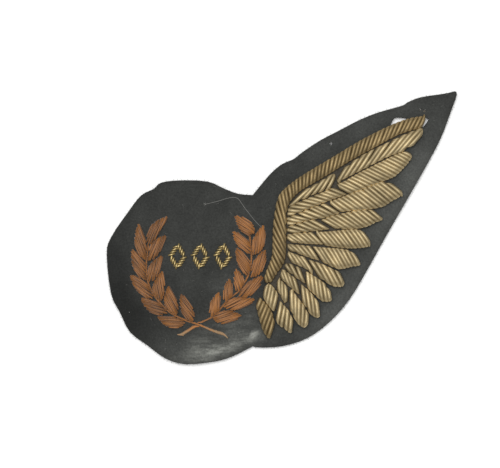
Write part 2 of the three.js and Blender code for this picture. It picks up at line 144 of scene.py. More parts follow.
# Broad patches where the cloth is drawn darker or paler: as above, with a share of its lightness
# last. It is darker along the roundel and paler by the wing.
LIGHTNESS_PATCHES = (
    (-43, -12, 15, 5, 92, -0.4),
    (-37, -24, 9, 5, -52, -0.4),
    (31, 9, 20, 5, 60, 1.1),
    (14, -22, 12, 4, 47, 1.1),
    (22, 27, 18, 4, 27, 0.4),
    (-5, -27, 9, 5, 10, 0.2),
    (-24, -33, 12, 4, -8, 0.4),
)
# The gentle wave all over the cloth: half its height, and how far it runs along x and along y for
# each radian (mm).
WAVE_HEIGHT = 0.12
WAVE_RUN = (7, 9)
# Small hollows in the face of the melton: how wide they are (mm), and their share of its
# unevenness.
HOLLOWS = ((3.5, 1), (1.3, 0.4))
# Specks of lint: x, y, spread (mm), and how many fibres.
LINT = (
    (-20, 6.1, 0.12, 5), (-11.1, -27.3, 0.15, 3), (-39.6, -22, 0.12, 1), (12.8, 22.1, 0.25, 5),
    # The speck at -7.2, -27.7 lies on the bright spot of a crease, and is partly a painted
    # highlight.
    (36.1, 30.9, 0.15, 3), (37.2, 30.5, 0.12, 3), (11.9, 23.9, 0.2, 2), (-7.2, -27.7, 0.3, 6),
)
# The stray thread's route over the cloth, in millimetres.
STRAY_THREAD = (
    (-20, 6.1), (-18.2, 6.5), (-16.2, 7), (-14.8, 7.5), (-13.5, 7.8), (-12.2, 8), (-11.2, 7.6),
    (-10.4, 6.2), (-9, 4.3), (-7.7, 2.7), (-6.4, 1.1), (-5.4, 0.3),
)


def gathered(spots, x, y):
    """The sum of soft oval spots at x, y in metres."""
    total = np.zeros_like(x)
    for spot_x, spot_y, length, width, turn, strength in spots:
        away = x / MM - spot_x, y / MM - spot_y
        cos, sin = math.cos(math.radians(turn)), math.sin(math.radians(turn))
        along = (away[0] * cos + away[1] * sin) / length
        across = (away[1] * cos - away[0] * sin) / width
        total = total + strength * np.exp(-along ** 2 - across ** 2)
    return total


def lift(x, y):
    """How far the badge stands off the table at x, y, which every piece follows."""
    run_x, run_y = WAVE_RUN
    wave = WAVE_HEIGHT * (1 + np.sin(x / (run_x * MM) + 1) * np.cos(y / (run_y * MM)))
    return MM * (gathered(SWELLS, x, y) + wave)


# ---- Outlines taken from the frame ----

# Points whose heights differ by less than this, in metres, lie on one level.
LEVEL = 1e-6


def base_loops(name):
    """The outlines of a CAD node's flat underside as arrays of x, y, the longest first."""
    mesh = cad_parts[name].data
    points = [tuple(round(c, 7) for c in vertex.co) for vertex in mesh.vertices]
    floor = min(p[2] for p in points) + LEVEL
    uses = {}
    for face in mesh.polygons:
        corners = [points[i] for i in face.vertices]
        if max(p[2] for p in corners) < floor:
            for edge in zip(corners, corners[1:] + corners[:1]):
                key = frozenset(p[:2] for p in edge)
                uses[key] = uses.get(key, 0) + 1
    beside = {}
    for key, count in uses.items():
        if count == 1 and len(key) == 2:
            a, b = sorted(key)
            beside.setdefault(a, []).append(b)
            beside.setdefault(b, []).append(a)
    loops = []
    while beside:
        start = min(beside)
        loop = [start]
        step = beside[start][0]
        while step != start:
            loop.append(step)
            step = next((p for p in beside[step] if p != loop[-2]), start)
        for point in loop:
            beside.pop(point)
        loops.append(np.array(loop))
    return sorted(loops, key=lambda loop: -len_around(loop))


def len_around(loop):
    """The length of a closed outline."""
    return np.linalg.norm(np.roll(loop, -1, axis=0) - loop, axis=1).sum()


def resampled(line, count):
    """An open line's points, spaced evenly along it."""
    steps = np.linalg.norm(np.diff(line, axis=0), axis=1)
    run = np.concatenate(([0], np.cumsum(steps)))
    places = np.linspace(0, run[-1], count)
    return np.stack([np.interp(places, run, line[:, k]) for k in range(2)], axis=1)


def spine(loop, root, count=32):
    """The line down the middle of an outline between its two farthest points, from the end
    nearest to root."""
    gaps = np.linalg.norm(loop[:, None] - loop[None], axis=2)
    first, last = sorted(np.unravel_index(gaps.argmax(), gaps.shape))
    turned = np.roll(loop, -first, axis=0)
    middle = last - first
    one_side = resampled(turned[:middle + 1], count)
    other_side = resampled(np.vstack((turned[middle:], turned[:1]))[::-1], count)
    line = (one_side + other_side) / 2
    ends = np.linalg.norm(line[[0, -1]] - root, axis=1)
    return line if ends[0] < ends[1] else line[::-1]


def direction(angle):
    """The way that an angle points, as x, y."""
    return np.array((math.cos(angle), math.sin(angle)))


def from_top(line):
    """A line's points, from its upper end."""
    return line if line[0][1] > line[-1][1] else line[::-1]


def chords(loop, through, angle):
    """The stretches of the line through a point, at an angle, that lie inside an outline."""
    along = direction(angle)
    offset = (loop - through) @ np.array((-along[1], along[0]))
    place = (loop - through) @ along
    next_offset, next_place = np.roll(offset, -1), np.roll(place, -1)
    crossing = (offset < 0) != (next_offset < 0)
    share = offset[crossing] / (offset - next_offset)[crossing]
    hits = np.sort(place[crossing] + share * (next_place - place)[crossing])
    return [(through + a * along, through + b * along) for a, b in zip(hits[::2], hits[1::2])]


# ---- Strands ----

# The bar that every strand is a copy of, in units of its radius: its length, how much of each
# end is rounded, and the bevel that rounds it.
STRAND_LENGTH = 10
ROUND_END = 1
END_BEVEL = 0.45
# How often the bar is cut across, so that it can arch and bow, and how many sides it has.
STRAND_CUTS = 3
PURL_SIDES, SILK_SIDES, FIBRE_SIDES = 8, 6, 3
# The most of a strand's length that one rounded end takes up.
MOST_ROUNDED = 0.4
# The steepest that a strand runs down to where it is sewn, and the share of its length over
# which that is measured, either way.
STEEPEST = 1.2
SLOPE_STEP = 0.02
# How far along the bar from a cut end the painted highlight on the tip reaches.
TIP_HIGHLIGHT_RUN = 3
# How far from its ends a strand is drawn down by its stitch.
SEWN_REACH = 0.3 * MM


def strand_template(name, sides):
    """One strand, modelled once: a bar of radius 1 with rounded ends, lying along X."""
    bpy.ops.object.select_all(action="DESELECT")
    bpy.ops.mesh.primitive_cylinder_add(
        vertices=sides, radius=1, depth=STRAND_LENGTH, location=(STRAND_LENGTH / 2, 0, 0),
        rotation=(0, math.pi / 2, 0),
    )
    made = bpy.context.object
    made.name = name
    bpy.ops.object.transform_apply(location=True, rotation=True, scale=True)
    bpy.ops.object.mode_set(mode="EDIT")
    bpy.ops.mesh.select_all(action="DESELECT")
    shape = bmesh.from_edit_mesh(made.data)
    for edge in shape.edges:
        edge.select = abs(edge.verts[0].co.x - edge.verts[1].co.x) < 1e-4
    bmesh.update_edit_mesh(made.data)
    bpy.ops.mesh.bevel(offset=END_BEVEL, segments=2, profile=0.5)
    bpy.ops.mesh.select_all(action="DESELECT")
    shape = bmesh.from_edit_mesh(made.data)
    for edge in shape.edges:
        edge.select = abs(edge.verts[0].co.x - edge.verts[1].co.x) > STRAND_LENGTH / 2
    bmesh.update_edit_mesh(made.data)
    bpy.ops.mesh.subdivide(number_cuts=STRAND_CUTS)
    bpy.ops.object.mode_set(mode="OBJECT")
    points = np.array([v.co for v in made.data.vertices])
    # Bevel leaves the faces in an order that changes from run to run, so they are sorted.
    faces = sorted(tuple(p.vertices) for p in made.data.polygons)
    bpy.data.objects.remove(made)
    return points, faces


def laid(template, strand):
    """A copy of the template's points, laid along one strand, and what its material reads."""
    points = template[0]
    start, end, radius = strand["start"], strand["end"], strand["radius"]
    length = np.linalg.norm(end - start)
    along = (end - start) / length
    across = np.array((-along[1], along[0]))
    near = np.minimum(points[:, 0], STRAND_LENGTH - points[:, 0])
    round_end = min(ROUND_END * radius, MOST_ROUNDED * length)
    middle = (points[:, 0] - ROUND_END) / (STRAND_LENGTH - 2 * ROUND_END)
    run = round_end + middle * (length - 2 * round_end)
    run = np.where(points[:, 0] < ROUND_END, points[:, 0] / ROUND_END * round_end, run)
    run = np.where(
        STRAND_LENGTH - points[:, 0] < ROUND_END,
        length - (STRAND_LENGTH - points[:, 0]) / ROUND_END * round_end, run,
    )
    share = run / length

    def height(at):
        """The height of the strand's middle line."""
        edge = np.minimum(at, 1 - at) * length
        arch = strand["crown"] * np.sqrt(np.clip(4 * at * (1 - at), 0, 1))
        arch = arch + strand["rise"] * np.clip(1 - at, 0, 1)
        return strand["seat"] + arch - strand["dip"] * np.exp(-(edge / strand["reach"]) ** 2)

    ahead, back = height(share + SLOPE_STEP), height(share - SLOPE_STEP)
    slope = (ahead - back) / (2 * SLOPE_STEP * length)
    slope = np.arctan(np.clip(slope, -STEEPEST, STEEPEST))
    bow = strand["bow"] * 4 * share * (1 - share)
    side, up = points[:, 1] * radius, points[:, 2] * radius
    first, last = strand["skew"]
    level = run - np.sin(slope) * up + side * (first + (last - first) * share)
    place = start + level[:, None] * along + (bow + side)[:, None] * across
    middle_line = start + run[:, None] * along
    z = height(share) + np.cos(slope) * up + lift(middle_line[:, 0], middle_line[:, 1])
    facts = {
        # crest is the height round the strand, by which the materials paint a highlight on its
        # top and shade down its sides.
        "crest": points[:, 2],
        "along": run / MM,
        "tone": np.full(len(points), strand["tone"]),
        # end grows from 0 at a cut end to 1 further in; the gilt paints a highlight on the tip by
        # it.
        "end": np.clip(near / TIP_HIGHLIGHT_RUN, 0, 1),
    }
    return np.column_stack((place, z)), facts


def strand(
    start, end, radius, seat, rng, crown=0.0, dip=0.0, reach=0.5 * MM, bow=0.0, skew=(0, 0),
    rise=0.0,
):
    """What one strand is laid by. Its own tone is drawn at random. skew is how its two ends
    slant, as length for each unit across, and rise is how far its start lies above its end."""
    return {
        "start": np.array(start), "end": np.array(end), "radius": radius, "seat": seat,
        "crown": crown, "dip": dip, "reach": reach, "bow": bow, "skew": skew, "rise": rise,
        "tone": rng.random(),
    }


def float_attribute(mesh, name, values):
    """Gives a mesh one number for each of its points."""
    attribute = mesh.attributes.new(name, "FLOAT", "POINT")
    attribute.data.foreach_set("value", np.asarray(values, dtype=np.float32))


def placed(name, data):
    """A new object with this data, in the scene."""
    made = bpy.data.objects.new(name, data)
    bpy.context.scene.collection.objects.link(made)
    return made


def select_only(made):
    """Selects one object and nothing else, for the next operator."""
    bpy.ops.object.select_all(action="DESELECT")
    made.select_set(True)
    bpy.context.view_layer.objects.active = made


def worked_mesh(name, template, strands, material):
    """One mesh of all the strands of a piece."""
    points, faces, facts, start = [], [], {}, 0
    for each in strands:
        own, read = laid(template, each)
        points.append(own)
        faces += [tuple(i + start for i in face) for face in template[1]]
        start += len(own)
        for key, values in read.items():
            facts.setdefault(key, []).append(values)
    mesh = bpy.data.meshes.new(name)
    mesh.from_pydata(np.concatenate(points).tolist(), [], faces)
    for key, values in facts.items():
        float_attribute(mesh, key, np.concatenate(values))
    mesh.materials.append(material)
    mesh.polygons.foreach_set("use_smooth", [True] * len(mesh.polygons))
    mesh.update()
    return placed(name, mesh)


def stand_for(piece, slot_name, *nodes):
    """The piece is hung from the root and takes the place of CAD nodes, which are hidden."""
    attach(piece, "root")
    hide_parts(*nodes)


# ---- Flat pieces ----

# Points of a cut edge that are closer than this, in metres, are merged.
MERGED = 2e-6
# Edges sharper than this, in degrees, stay crisp.
SMOOTH_ANGLE = 40
# How far the cut edges of the lining and the felt are rounded.
LINING_RIM = 0.05 * MM
FELT_RIM = 0.2 * MM
# The melton's margin, where it darkens: its width, how dark it gets at the cut, and at how many
# points the cut is followed.
DARK_MARGIN = 1.5 * MM
MARGIN_DARKNESS = 0.6
MARGIN_POINTS = 400
# The most that rubbing and painted highlight add up to where their patches overlap.
MOST_WEAR_AND_HIGHLIGHT = 1.5


def cut_piece(name, loops, low, high, rim, cell):
    """A flat piece cut to outlines, with rounded rims, in small cells that can be shaped."""
    data = bpy.data.curves.new(name, "CURVE")
    data.dimensions = "2D"
    data.fill_mode = "BOTH"
    data.extrude = (high - low) / 2 - rim
    data.bevel_depth = rim
    data.bevel_resolution = 1
    data.offset = -rim
    for loop in loops:
        spline = data.splines.new("POLY")
        spline.points.add(len(loop) - 1)
        spline.use_cyclic_u = True
        for point, (x, y) in zip(spline.points, loop):
            point.co = (x, y, 0, 1)
    select_only(placed(name, data))
    bpy.ops.object.convert(target="MESH")
    made = bpy.context.object
    shape = bmesh.new()
    shape.from_mesh(made.data)
    bmesh.ops.remove_doubles(shape, verts=shape.verts, dist=MERGED)
    bmesh.ops.recalc_face_normals(shape, faces=shape.faces)
    corners = np.array([v.co for v in shape.verts])
    for axis in (0, 1):
        normal = Vector((axis == 0, axis == 1, 0))
        for place in np.arange(corners[:, axis].min() + cell, corners[:, axis].max(), cell):
            bmesh.ops.bisect_plane(
                shape, geom=shape.verts[:] + shape.edges[:] + shape.faces[:],
                plane_co=normal * place, plane_no=normal,
            )
    for vertex in shape.verts:
        vertex.co.z += (low + high) / 2
    shape.to_mesh(made.data)
    shape.free()
    return made


def raised(made, extra=lambda co: 0):
    """Lifts a flat piece with the badge, plus its own height at each x, y and z."""
    co = np.array([v.co for v in made.data.vertices])
    co[:, 2] += lift(co[:, 0], co[:, 1]) + extra(co)
    made.data.vertices.foreach_set("co", co.ravel())
    made.data.update()
    return co


def finished(made, material):
    """Smooth shading up to an angle, and the material."""
    select_only(made)
    bpy.ops.object.shade_smooth_by_angle(angle=math.radians(SMOOTH_ANGLE))
    made.data.materials.clear()
    made.data.materials.append(material)


# ---- Materials ----

def add_node(tree, kind, inputs=None, **settings):
    """Adds a node with its settings. An input is given a value, or linked to an output."""
    made = tree.nodes.new(kind)
    for key, value in settings.items():
        setattr(made, key, value)
    for key, value in (inputs or {}).items():
        if isinstance(value, bpy.types.NodeSocket):
            tree.links.new(value, made.inputs[key])
        else:
            made.inputs[key].default_value = value
    return made


def new_material(name):
    """An empty material with its shader and output, and its tree."""
    made = bpy.data.materials.new(name)
    made.use_nodes = True
    made.node_tree.nodes.clear()
    return made, made.node_tree


def rgba(colour):
    """A colour as a node takes it, with its alpha."""
    return (*colour, 1)


def gilt_purl_material(name, crest, valley, roughness):
    """Gilt purl: fine gilt wire wound into a tight, hollow coil and cut to length.

    Its turns break the shine into a soft line along the crest. Its colour holds painted light:
    the crest colour is a painted highlight along the top of each purl, and the valley colour is
    painted shade down its sides, partly tarnish held in the hollow between two purls.
    """
    made, tree = new_material(name)
    fact = {
        name: add_node(tree, "ShaderNodeAttribute", attribute_name=name).outputs["Fac"]
        for name in ("crest", "tone", "along", "end")
    }
    place = add_node(tree, "ShaderNodeTexCoord")
    # Tarnish comes in clouds about 4 mm across, broken up by specks of 0.4 mm.
    clouds = add_node(tree, "ShaderNodeTexNoise", {
        "Vector": place.outputs["Object"], "Scale": 1 / (4 * MM), "Detail": 5.0,
        "Roughness": 0.65,
    })
    # Painted highlight and shade: the height round the purl mixes from the valley colour on its
    # sides to the crest colour on its top.
    height = add_node(tree, "ShaderNodeMapRange", {
        "Value": fact["crest"], "From Min": -0.5, "From Max": 0.8,
    }, interpolation_type="SMOOTHSTEP")
    worn = add_node(tree, "ShaderNodeMapRange", {
        "Value": clouds.outputs["Fac"], "From Min": 0.35, "From Max": 0.7,
        "To Min": 1.08, "To Max": 0.72,
    })
    own = add_node(tree, "ShaderNodeMapRange", {
        "Value": fact["tone"], "To Min": 0.78, "To Max": 1.1,
    })
    # Painted highlight: each purl is lightened towards its cut ends, as a tip that catches the
    # light.
    cut = add_node(tree, "ShaderNodeMapRange", {
        "Value": fact["end"], "From Max": 0.45, "To Min": 1.6, "To Max": 1.0,
    })
    lit = add_node(tree, "ShaderNodeMath", {0: own.outputs[0], 1: cut.outputs[0]},
                   operation="MULTIPLY")
    shade = add_node(tree, "ShaderNodeMath", {0: worn.outputs[0], 1: lit.outputs[0]},
                     operation="MULTIPLY")
    colour = add_node(tree, "ShaderNodeMix", {
        0: height.outputs[0], 6: rgba(valley), 7: rgba(crest),
    }, data_type="RGBA")
    shaded = add_node(tree, "ShaderNodeVectorMath", {
        0: colour.outputs[2], "Scale": shade.outputs[0],
    }, operation="SCALE")
    # The wire is 0.12 mm thick. Its turns are drawn 0.3 mm apart, so that they show.
    turns = add_node(tree, "ShaderNodeMath", {
        0: fact["along"], 1: 2 * math.pi / 0.3,
    }, operation="MULTIPLY")
    ridges = add_node(tree, "ShaderNodeMath", {0: turns.outputs[0]}, operation="SINE")
    bump = add_node(tree, "ShaderNodeBump", {
        "Height": ridges.outputs[0], "Strength": 0.25, "Distance": 0.02 * MM,
    })
    shine = add_node(tree, "ShaderNodeMapRange", {
        "Value": clouds.outputs["Fac"], "To Min": roughness - 0.08, "To Max": roughness + 0.12,
    })
    shader = add_node(tree, "ShaderNodeBsdfPrincipled", {
        "Base Color": shaded.outputs[0], "Metallic": 0.9, "Roughness": shine.outputs[0],
        "Normal": bump.outputs[0],
    })
    add_node(tree, "ShaderNodeOutputMaterial", {"Surface": shader.outputs[0]})
    return made


def silk_material(name, light, dark, bleached):
    """Stranded silk floss: a loose twist of fine, smooth filaments in copper brown.

    It has a soft lengthwise sheen. Its colour holds painted light: the light colour is a painted
    highlight on the top of each thread, and the dark colour is painted shade down its sides,
    where it sinks between two others.
    """
    made, tree = new_material(name)
    fact = {
        name: add_node(tree, "ShaderNodeAttribute", attribute_name=name).outputs["Fac"]
        for name in ("crest", "tone", "along")
    }
    place = add_node(tree, "ShaderNodeTexCoord")
    patches = add_node(tree, "ShaderNodeTexNoise", {
        "Vector": place.outputs["Object"], "Scale": 1 / (2.5 * MM), "Detail": 4.0,
    })
    # Painted highlight and shade: the height round the thread mixes from the dark colour on its
    # sides to the light colour on its top.
    height = add_node(tree, "ShaderNodeMapRange", {
        "Value": fact["crest"], "From Min": -0.2, "From Max": 0.95,
    }, interpolation_type="SMOOTHSTEP")
    mixed = add_node(tree, "ShaderNodeMath", {
        0: fact["tone"], 1: patches.outputs["Fac"],
    }, operation="ADD")
    own = add_node(tree, "ShaderNodeMapRange", {
        "Value": mixed.outputs[0], "From Min": 0.3, "From Max": 1.7,
        "To Min": 0.5, "To Max": 1.35,
    })
    colour = add_node(tree, "ShaderNodeMix", {
        0: height.outputs[0], 6: rgba(dark), 7: rgba(light),
    }, data_type="RGBA")
    fading = add_node(tree, "ShaderNodeMapRange", {
        "Value": fact["tone"], "From Min": 1.3, "From Max": 2.3, "To Max": 0.85,
    })
    faded = add_node(tree, "ShaderNodeMix", {
        0: fading.outputs[0], 6: colour.outputs[2], 7: rgba(bleached),
    }, data_type="RGBA")
    shaded = add_node(tree, "ShaderNodeVectorMath", {
        0: faded.outputs[2], "Scale": own.outputs[0],
    }, operation="SCALE")
    # The filaments are twisted once in about 0.9 mm.
    twist = add_node(tree, "ShaderNodeMath", {
        0: fact["along"], 1: 2 * math.pi / 0.9,
    }, operation="MULTIPLY")
    ridges = add_node(tree, "ShaderNodeMath", {0: twist.outputs[0]}, operation="SINE")
    bump = add_node(tree, "ShaderNodeBump", {
        "Height": ridges.outputs[0], "Strength": 0.35, "Distance": 0.03 * MM,
    })
    shader = add_node(tree, "ShaderNodeBsdfPrincipled", {
        "Base Color": shaded.outputs[0], "Roughness": 0.5, "Sheen Weight": 0.25,
        "Sheen Roughness": 0.4, "Specular IOR Level": 0.4, "Normal": bump.outputs[0],
    })
    add_node(tree, "ShaderNodeOutputMaterial", {"Surface": shader.outputs[0]})
    return made


def melton_material(name, nap, worn, rim):
    """Wool melton: a heavy, fulled cloth whose short nap hides the weave.

    It is matt and slightly mottled, it catches lint, and it goes pale and chalky where the
    nap is rubbed. The same pale colour is painted as a highlight where the creased cloth catches
    the light.
    """
    made, tree = new_material(name)
    place = add_node(tree, "ShaderNodeTexCoord")
    fact = {
        name: add_node(tree, "ShaderNodeAttribute", attribute_name=name).outputs["Fac"]
        for name in ("wear_and_highlight", "edge", "lightness_shift")
    }
    # Tufts of nap are 0.2 to 0.5 mm across, and the mottling is about 6 mm.
    tufts = add_node(tree, "ShaderNodeTexNoise", {
        "Vector": place.outputs["Object"], "Scale": 1 / (0.45 * MM), "Detail": 6.0,
        "Roughness": 0.7,
    })
    mottling = add_node(tree, "ShaderNodeTexNoise", {
        "Vector": place.outputs["Object"], "Scale": 1 / (6 * MM), "Detail": 3.0,
    })
    # Chalk clings to the nap in strokes about 1.5 mm across and three times as long.
    stroked = add_node(tree, "ShaderNodeMapping", {
        "Vector": place.outputs["Object"], "Rotation": (0, 0, math.radians(-20)),
        "Scale": (0.3, 1, 1),
    })
    streaks = add_node(tree, "ShaderNodeTexNoise", {
        "Vector": stroked.outputs["Vector"], "Scale": 1 / (1.5 * MM), "Detail": 4.0,
        "Roughness": 0.6,
    })
    broken = add_node(tree, "ShaderNodeMapRange", {
        "Value": streaks.outputs["Fac"], "From Min": 0.4, "From Max": 0.62,
        "To Min": 0.35, "To Max": 1.3,
    })
    # Rubbed nap, partly painted highlight on the creases, lightens towards the rubbed colour.
    rubbed = add_node(tree, "ShaderNodeMath", {0: broken.outputs[0], 1: fact["wear_and_highlight"]},
                      operation="MULTIPLY", use_clamp=True)
    base = add_node(tree, "ShaderNodeMix", {
        0: fact["edge"], 6: rgba(nap), 7: rgba(rim),
    }, data_type="RGBA")
    chalky = add_node(tree, "ShaderNodeMix", {
        0: rubbed.outputs[0], 6: base.outputs[2], 7: rgba(worn),
    }, data_type="RGBA")
    grain = add_node(tree, "ShaderNodeMapRange", {
        "Value": tufts.outputs["Fac"], "From Min": 0.3, "From Max": 0.7,
        "To Min": 0.66, "To Max": 1.34,
    })
    cloudy = add_node(tree, "ShaderNodeMapRange", {
        "Value": mottling.outputs["Fac"], "From Min": 0.3, "From Max": 0.7,
        "To Min": 0.84, "To Max": 1.16,
    })
    # Broad patches make the cloth darker in some places and paler in others, mottled.
    faded = add_node(tree, "ShaderNodeMath", {
        0: fact["lightness_shift"], 1: cloudy.outputs[0], 2: cloudy.outputs[0],
    }, operation="MULTIPLY_ADD")
    shade = add_node(tree, "ShaderNodeMath", {0: grain.outputs[0], 1: faded.outputs[0]},
                     operation="MULTIPLY")
    shaded = add_node(tree, "ShaderNodeVectorMath", {
        0: chalky.outputs[2], "Scale": shade.outputs[0],
    }, operation="SCALE")
    bump = add_node(tree, "ShaderNodeBump", {
        "Height": tufts.outputs["Fac"], "Strength": 0.7, "Distance": 0.12 * MM,
    })
    shader = add_node(tree, "ShaderNodeBsdfPrincipled", {
        "Base Color": shaded.outputs[0], "Roughness": 0.95, "Sheen Weight": 0.12,
        "Sheen Roughness": 0.5, "Specular IOR Level": 0.15, "Normal": bump.outputs[0],
    })
    add_node(tree, "ShaderNodeOutputMaterial", {"Surface": shader.outputs[0]})
    return made


def lining_material(name, thread, gap):
    """Cotton lining: a plain weave of matt, undyed yarn, stiffened and a little soiled."""
    made, tree = new_material(name)
    place = add_node(tree, "ShaderNodeTexCoord")
    # The yarns are 0.35 mm apart both ways, and the weave repeats at every second yarn. At a
    # scale of 1 a band repeats every 0.314 m.
    waves = []
    for direction in ("X", "Y"):
        wave = add_node(tree, "ShaderNodeTexWave", {
            "Vector": place.outputs["Object"], "Scale": 0.314 / (2 * 0.35 * MM),
            "Distortion": 1.5, "Detail": 2.0, "Detail Scale": 3.0,
        }, bands_direction=direction)
        waves.append(wave.outputs["Fac"])
    weave = add_node(tree, "ShaderNodeMath", {0: waves[0], 1: waves[1]}, operation="MAXIMUM")
    soil = add_node(tree, "ShaderNodeTexNoise", {
        "Vector": place.outputs["Object"], "Scale": 1 / (14 * MM), "Detail": 5.0,
    })
    colour = add_node(tree, "ShaderNodeMix", {
        0: weave.outputs[0], 6: rgba(gap), 7: rgba(thread),
    }, data_type="RGBA")
    stained = add_node(tree, "ShaderNodeMapRange", {
        "Value": soil.outputs["Fac"], "From Min": 0.3, "From Max": 0.7,
        "To Min": 1.05, "To Max": 0.72,
    })
    shaded = add_node(tree, "ShaderNodeVectorMath", {
        0: colour.outputs[2], "Scale": stained.outputs[0],
    }, operation="SCALE")
    bump = add_node(tree, "ShaderNodeBump", {
        "Height": weave.outputs[0], "Strength": 0.5, "Distance": 0.08 * MM,
    })
    shader = add_node(tree, "ShaderNodeBsdfPrincipled", {
        "Base Color": shaded.outputs[0], "Roughness": 0.9, "Specular IOR Level": 0.2,
        "Normal": bump.outputs[0],
    })
    add_node(tree, "ShaderNodeOutputMaterial", {"Surface": shader.outputs[0]})
    return made


def felt_material(name, fibre):
    """Wool felt: matted fibres with no weave, a dark brownish grey where it shows in the gaps."""
    made, tree = new_material(name)
    place = add_node(tree, "ShaderNodeTexCoord")
    matting = add_node(tree, "ShaderNodeTexNoise", {
        "Vector": place.outputs["Object"], "Scale": 1 / (0.6 * MM), "Detail": 6.0,
        "Roughness": 0.7,
    })
    grain = add_node(tree, "ShaderNodeMapRange", {
        "Value": matting.outputs["Fac"], "From Min": 0.3, "From Max": 0.7,
        "To Min": 0.6, "To Max": 1.3,
    })
    shaded = add_node(tree, "ShaderNodeVectorMath", {
        0: fibre, "Scale": grain.outputs[0],
    }, operation="SCALE")
    bump = add_node(tree, "ShaderNodeBump", {
        "Height": matting.outputs["Fac"], "Strength": 0.8, "Distance": 0.15 * MM,
    })
    shader = add_node(tree, "ShaderNodeBsdfPrincipled", {
        "Base Color": shaded.outputs[0], "Roughness": 1.0, "Specular IOR Level": 0.1,
        "Normal": bump.outputs[0],
    })
    add_node(tree, "ShaderNodeOutputMaterial", {"Surface": shader.outputs[0]})
    return made


def floor_material(name, paint):
    """Matt white board under the badge, with the faintest unevenness in its paint."""
    made, tree = new_material(name)
    place = add_node(tree, "ShaderNodeTexCoord")
    paper = add_node(tree, "ShaderNodeTexNoise", {
        "Vector": place.outputs["Object"], "Scale": 40.0, "Detail": 3.0,
    })
    shade = add_node(tree, "ShaderNodeMapRange", {
        "Value": paper.outputs["Fac"], "To Min": 0.99, "To Max": 1.0,
    })
    shaded = add_node(tree, "ShaderNodeVectorMath", {
        0: paint, "Scale": shade.outputs[0],
    }, operation="SCALE")
    shader = add_node(tree, "ShaderNodeBsdfPrincipled", {
        "Base Color": shaded.outputs[0], "Roughness": 0.9, "Specular IOR Level": 0.1,
    })
    add_node(tree, "ShaderNodeOutputMaterial", {"Surface": shader.outputs[0]})
    return made


# ---- Sizes and colours ----

def length_setting(name, description, default, least):
    """A length that a user can change. Its default and its least value are in millimetres."""
    return bpy.props.FloatProperty(
        name=name, description=description, default=default * MM, min=least * MM,
        unit="LENGTH",
    )


def colour_setting(name, description, code):
    """A colour that a user can change, from its sRGB hex value."""
    return bpy.props.FloatVectorProperty(
        name=name, description=description, subtype="COLOR", size=3, default=linear(code),
    )


class ClothSettings(bpy.types.PropertyGroup):
    """Sizes and colours of the melton, the felt and the lining."""
    cell: length_setting("Cell", "Spacing of the points that shape the cloth", 0.9, 0.3)
    rim: length_setting("Rim", "Rounding of the cut edge", 0.22, 0.01)
    unevenness: length_setting(
        "Unevenness", "Height of the small hollows in the cloth", 0.09, 0)
    nap: colour_setting("Nap", "Colour of the melton", "#333432")
    rim_nap: colour_setting("Margin", "Colour of the melton along its cut edge", "#2c2c2a")
    # The rubbed colour also serves for the painted highlight on the creases.
    worn: colour_setting("Rubbed nap", "Colour of the melton where it is rubbed", "#7d7e78")
    felt: colour_setting("Felt", "Colour of the padding", "#45413a")
    yarn: colour_setting("Lining", "Colour of the lining's yarn", "#a39a88")


class GiltSettings(bpy.types.PropertyGroup):
    """Sizes and colours of the gilt purl."""
    diameter: length_setting("Purl", "Thickness of a purl on the feathers", 1.16, 0.2)
    pitch: length_setting("Pitch", "Distance from one purl to the next", 0.96, 0.2)
    crown: length_setting("Crown", "How far a purl arches over the padding", 0.2, 0)
    dip: length_setting("Dip", "How far the ends of a purl are sewn down", 0.14, 0)
    reach: length_setting(
        "Reach", "How far a purl goes past the line where it is sewn down", 0.2, 0)
    # crest is the colour of the gilt's painted highlight, and valley that of its painted shade,
    # partly tarnish.
    crest: colour_setting("Crest", "Colour of the gilt where it is rubbed bright", "#b4a37e")
    valley: colour_setting("Valley", "Colour of the gilt between two purls", "#8b764a")
    # The lozenges' gilt: a painted highlight on the top of each chip, and painted shade, partly
    # tarnish, down its sides.
    chip_highlight: colour_setting(
        "Chip crest", "Colour of the bright chips of the lozenges", "#bba775")
    chip_shade_and_tarnish: colour_setting(
        "Chip valley", "Colour of the chips of the lozenges down their sides", "#4a3c24")
    # The leading edge's gilt: a painted highlight on the top of each purl, and painted shade,
    # partly tarnish, down its sides, both darker than on the feathers.
    edge_highlight: colour_setting(
        "Leading edge crest", "Colour of the duller gilt on the leading edge", "#927f5b")
    edge_shade_and_tarnish: colour_setting(
        "Leading edge valley", "Colour between the purls of the leading edge", "#6a5434")


class SilkSettings(bpy.types.PropertyGroup):
    """Sizes and colours of the silk."""
    thread: length_setting("Thread", "Thickness of a silk thread", 0.46, 0.05)
    pitch: length_setting("Pitch", "Distance from one thread to the next", 0.34, 0.05)
    slant: bpy.props.FloatProperty(
        name="Slant", description="Angle of the threads to the length of a leaf",
        default=math.radians(14), subtype="ANGLE", unit="ROTATION",
    )
    tuck: length_setting("Tuck", "How far the foot of a leaf runs over the stem", 0.6, 0)
    # light is the silk's painted highlight and dark its painted shade, mixed by the height round
    # each thread.
    light: colour_setting("Silk", "Colour of the silk in the light", "#8e5c2b")
    bleached: colour_setting(
        "Bleached silk", "Colour of the silk where it has faded", "#7d6c52")
    dark: colour_setting("Shaded silk", "Colour of the silk between two threads", "#4a2a16")


class NapSettings(bpy.types.PropertyGroup):
    """Loose fibres on the nap and along the cut edge."""
    fibres: bpy.props.IntProperty(
        name="Fibres", description="How many fibres lie on the nap", default=420, min=0,
    )
    rim_fibres: bpy.props.IntProperty(
        name="Edge fibres", description="How many fibres stand out of the cut edge",
        default=260, min=1,
    )
    length: length_setting("Length", "Length of a fibre", 0.65, 0.1)
    thickness: length_setting("Thickness", "Thickness of a fibre", 0.055, 0.005)
    dark: colour_setting("Wool", "Colour of the wool fibres", "#3a3b39")
    pale: colour_setting("Lint", "Colour of the lint", "#c9c8c2")


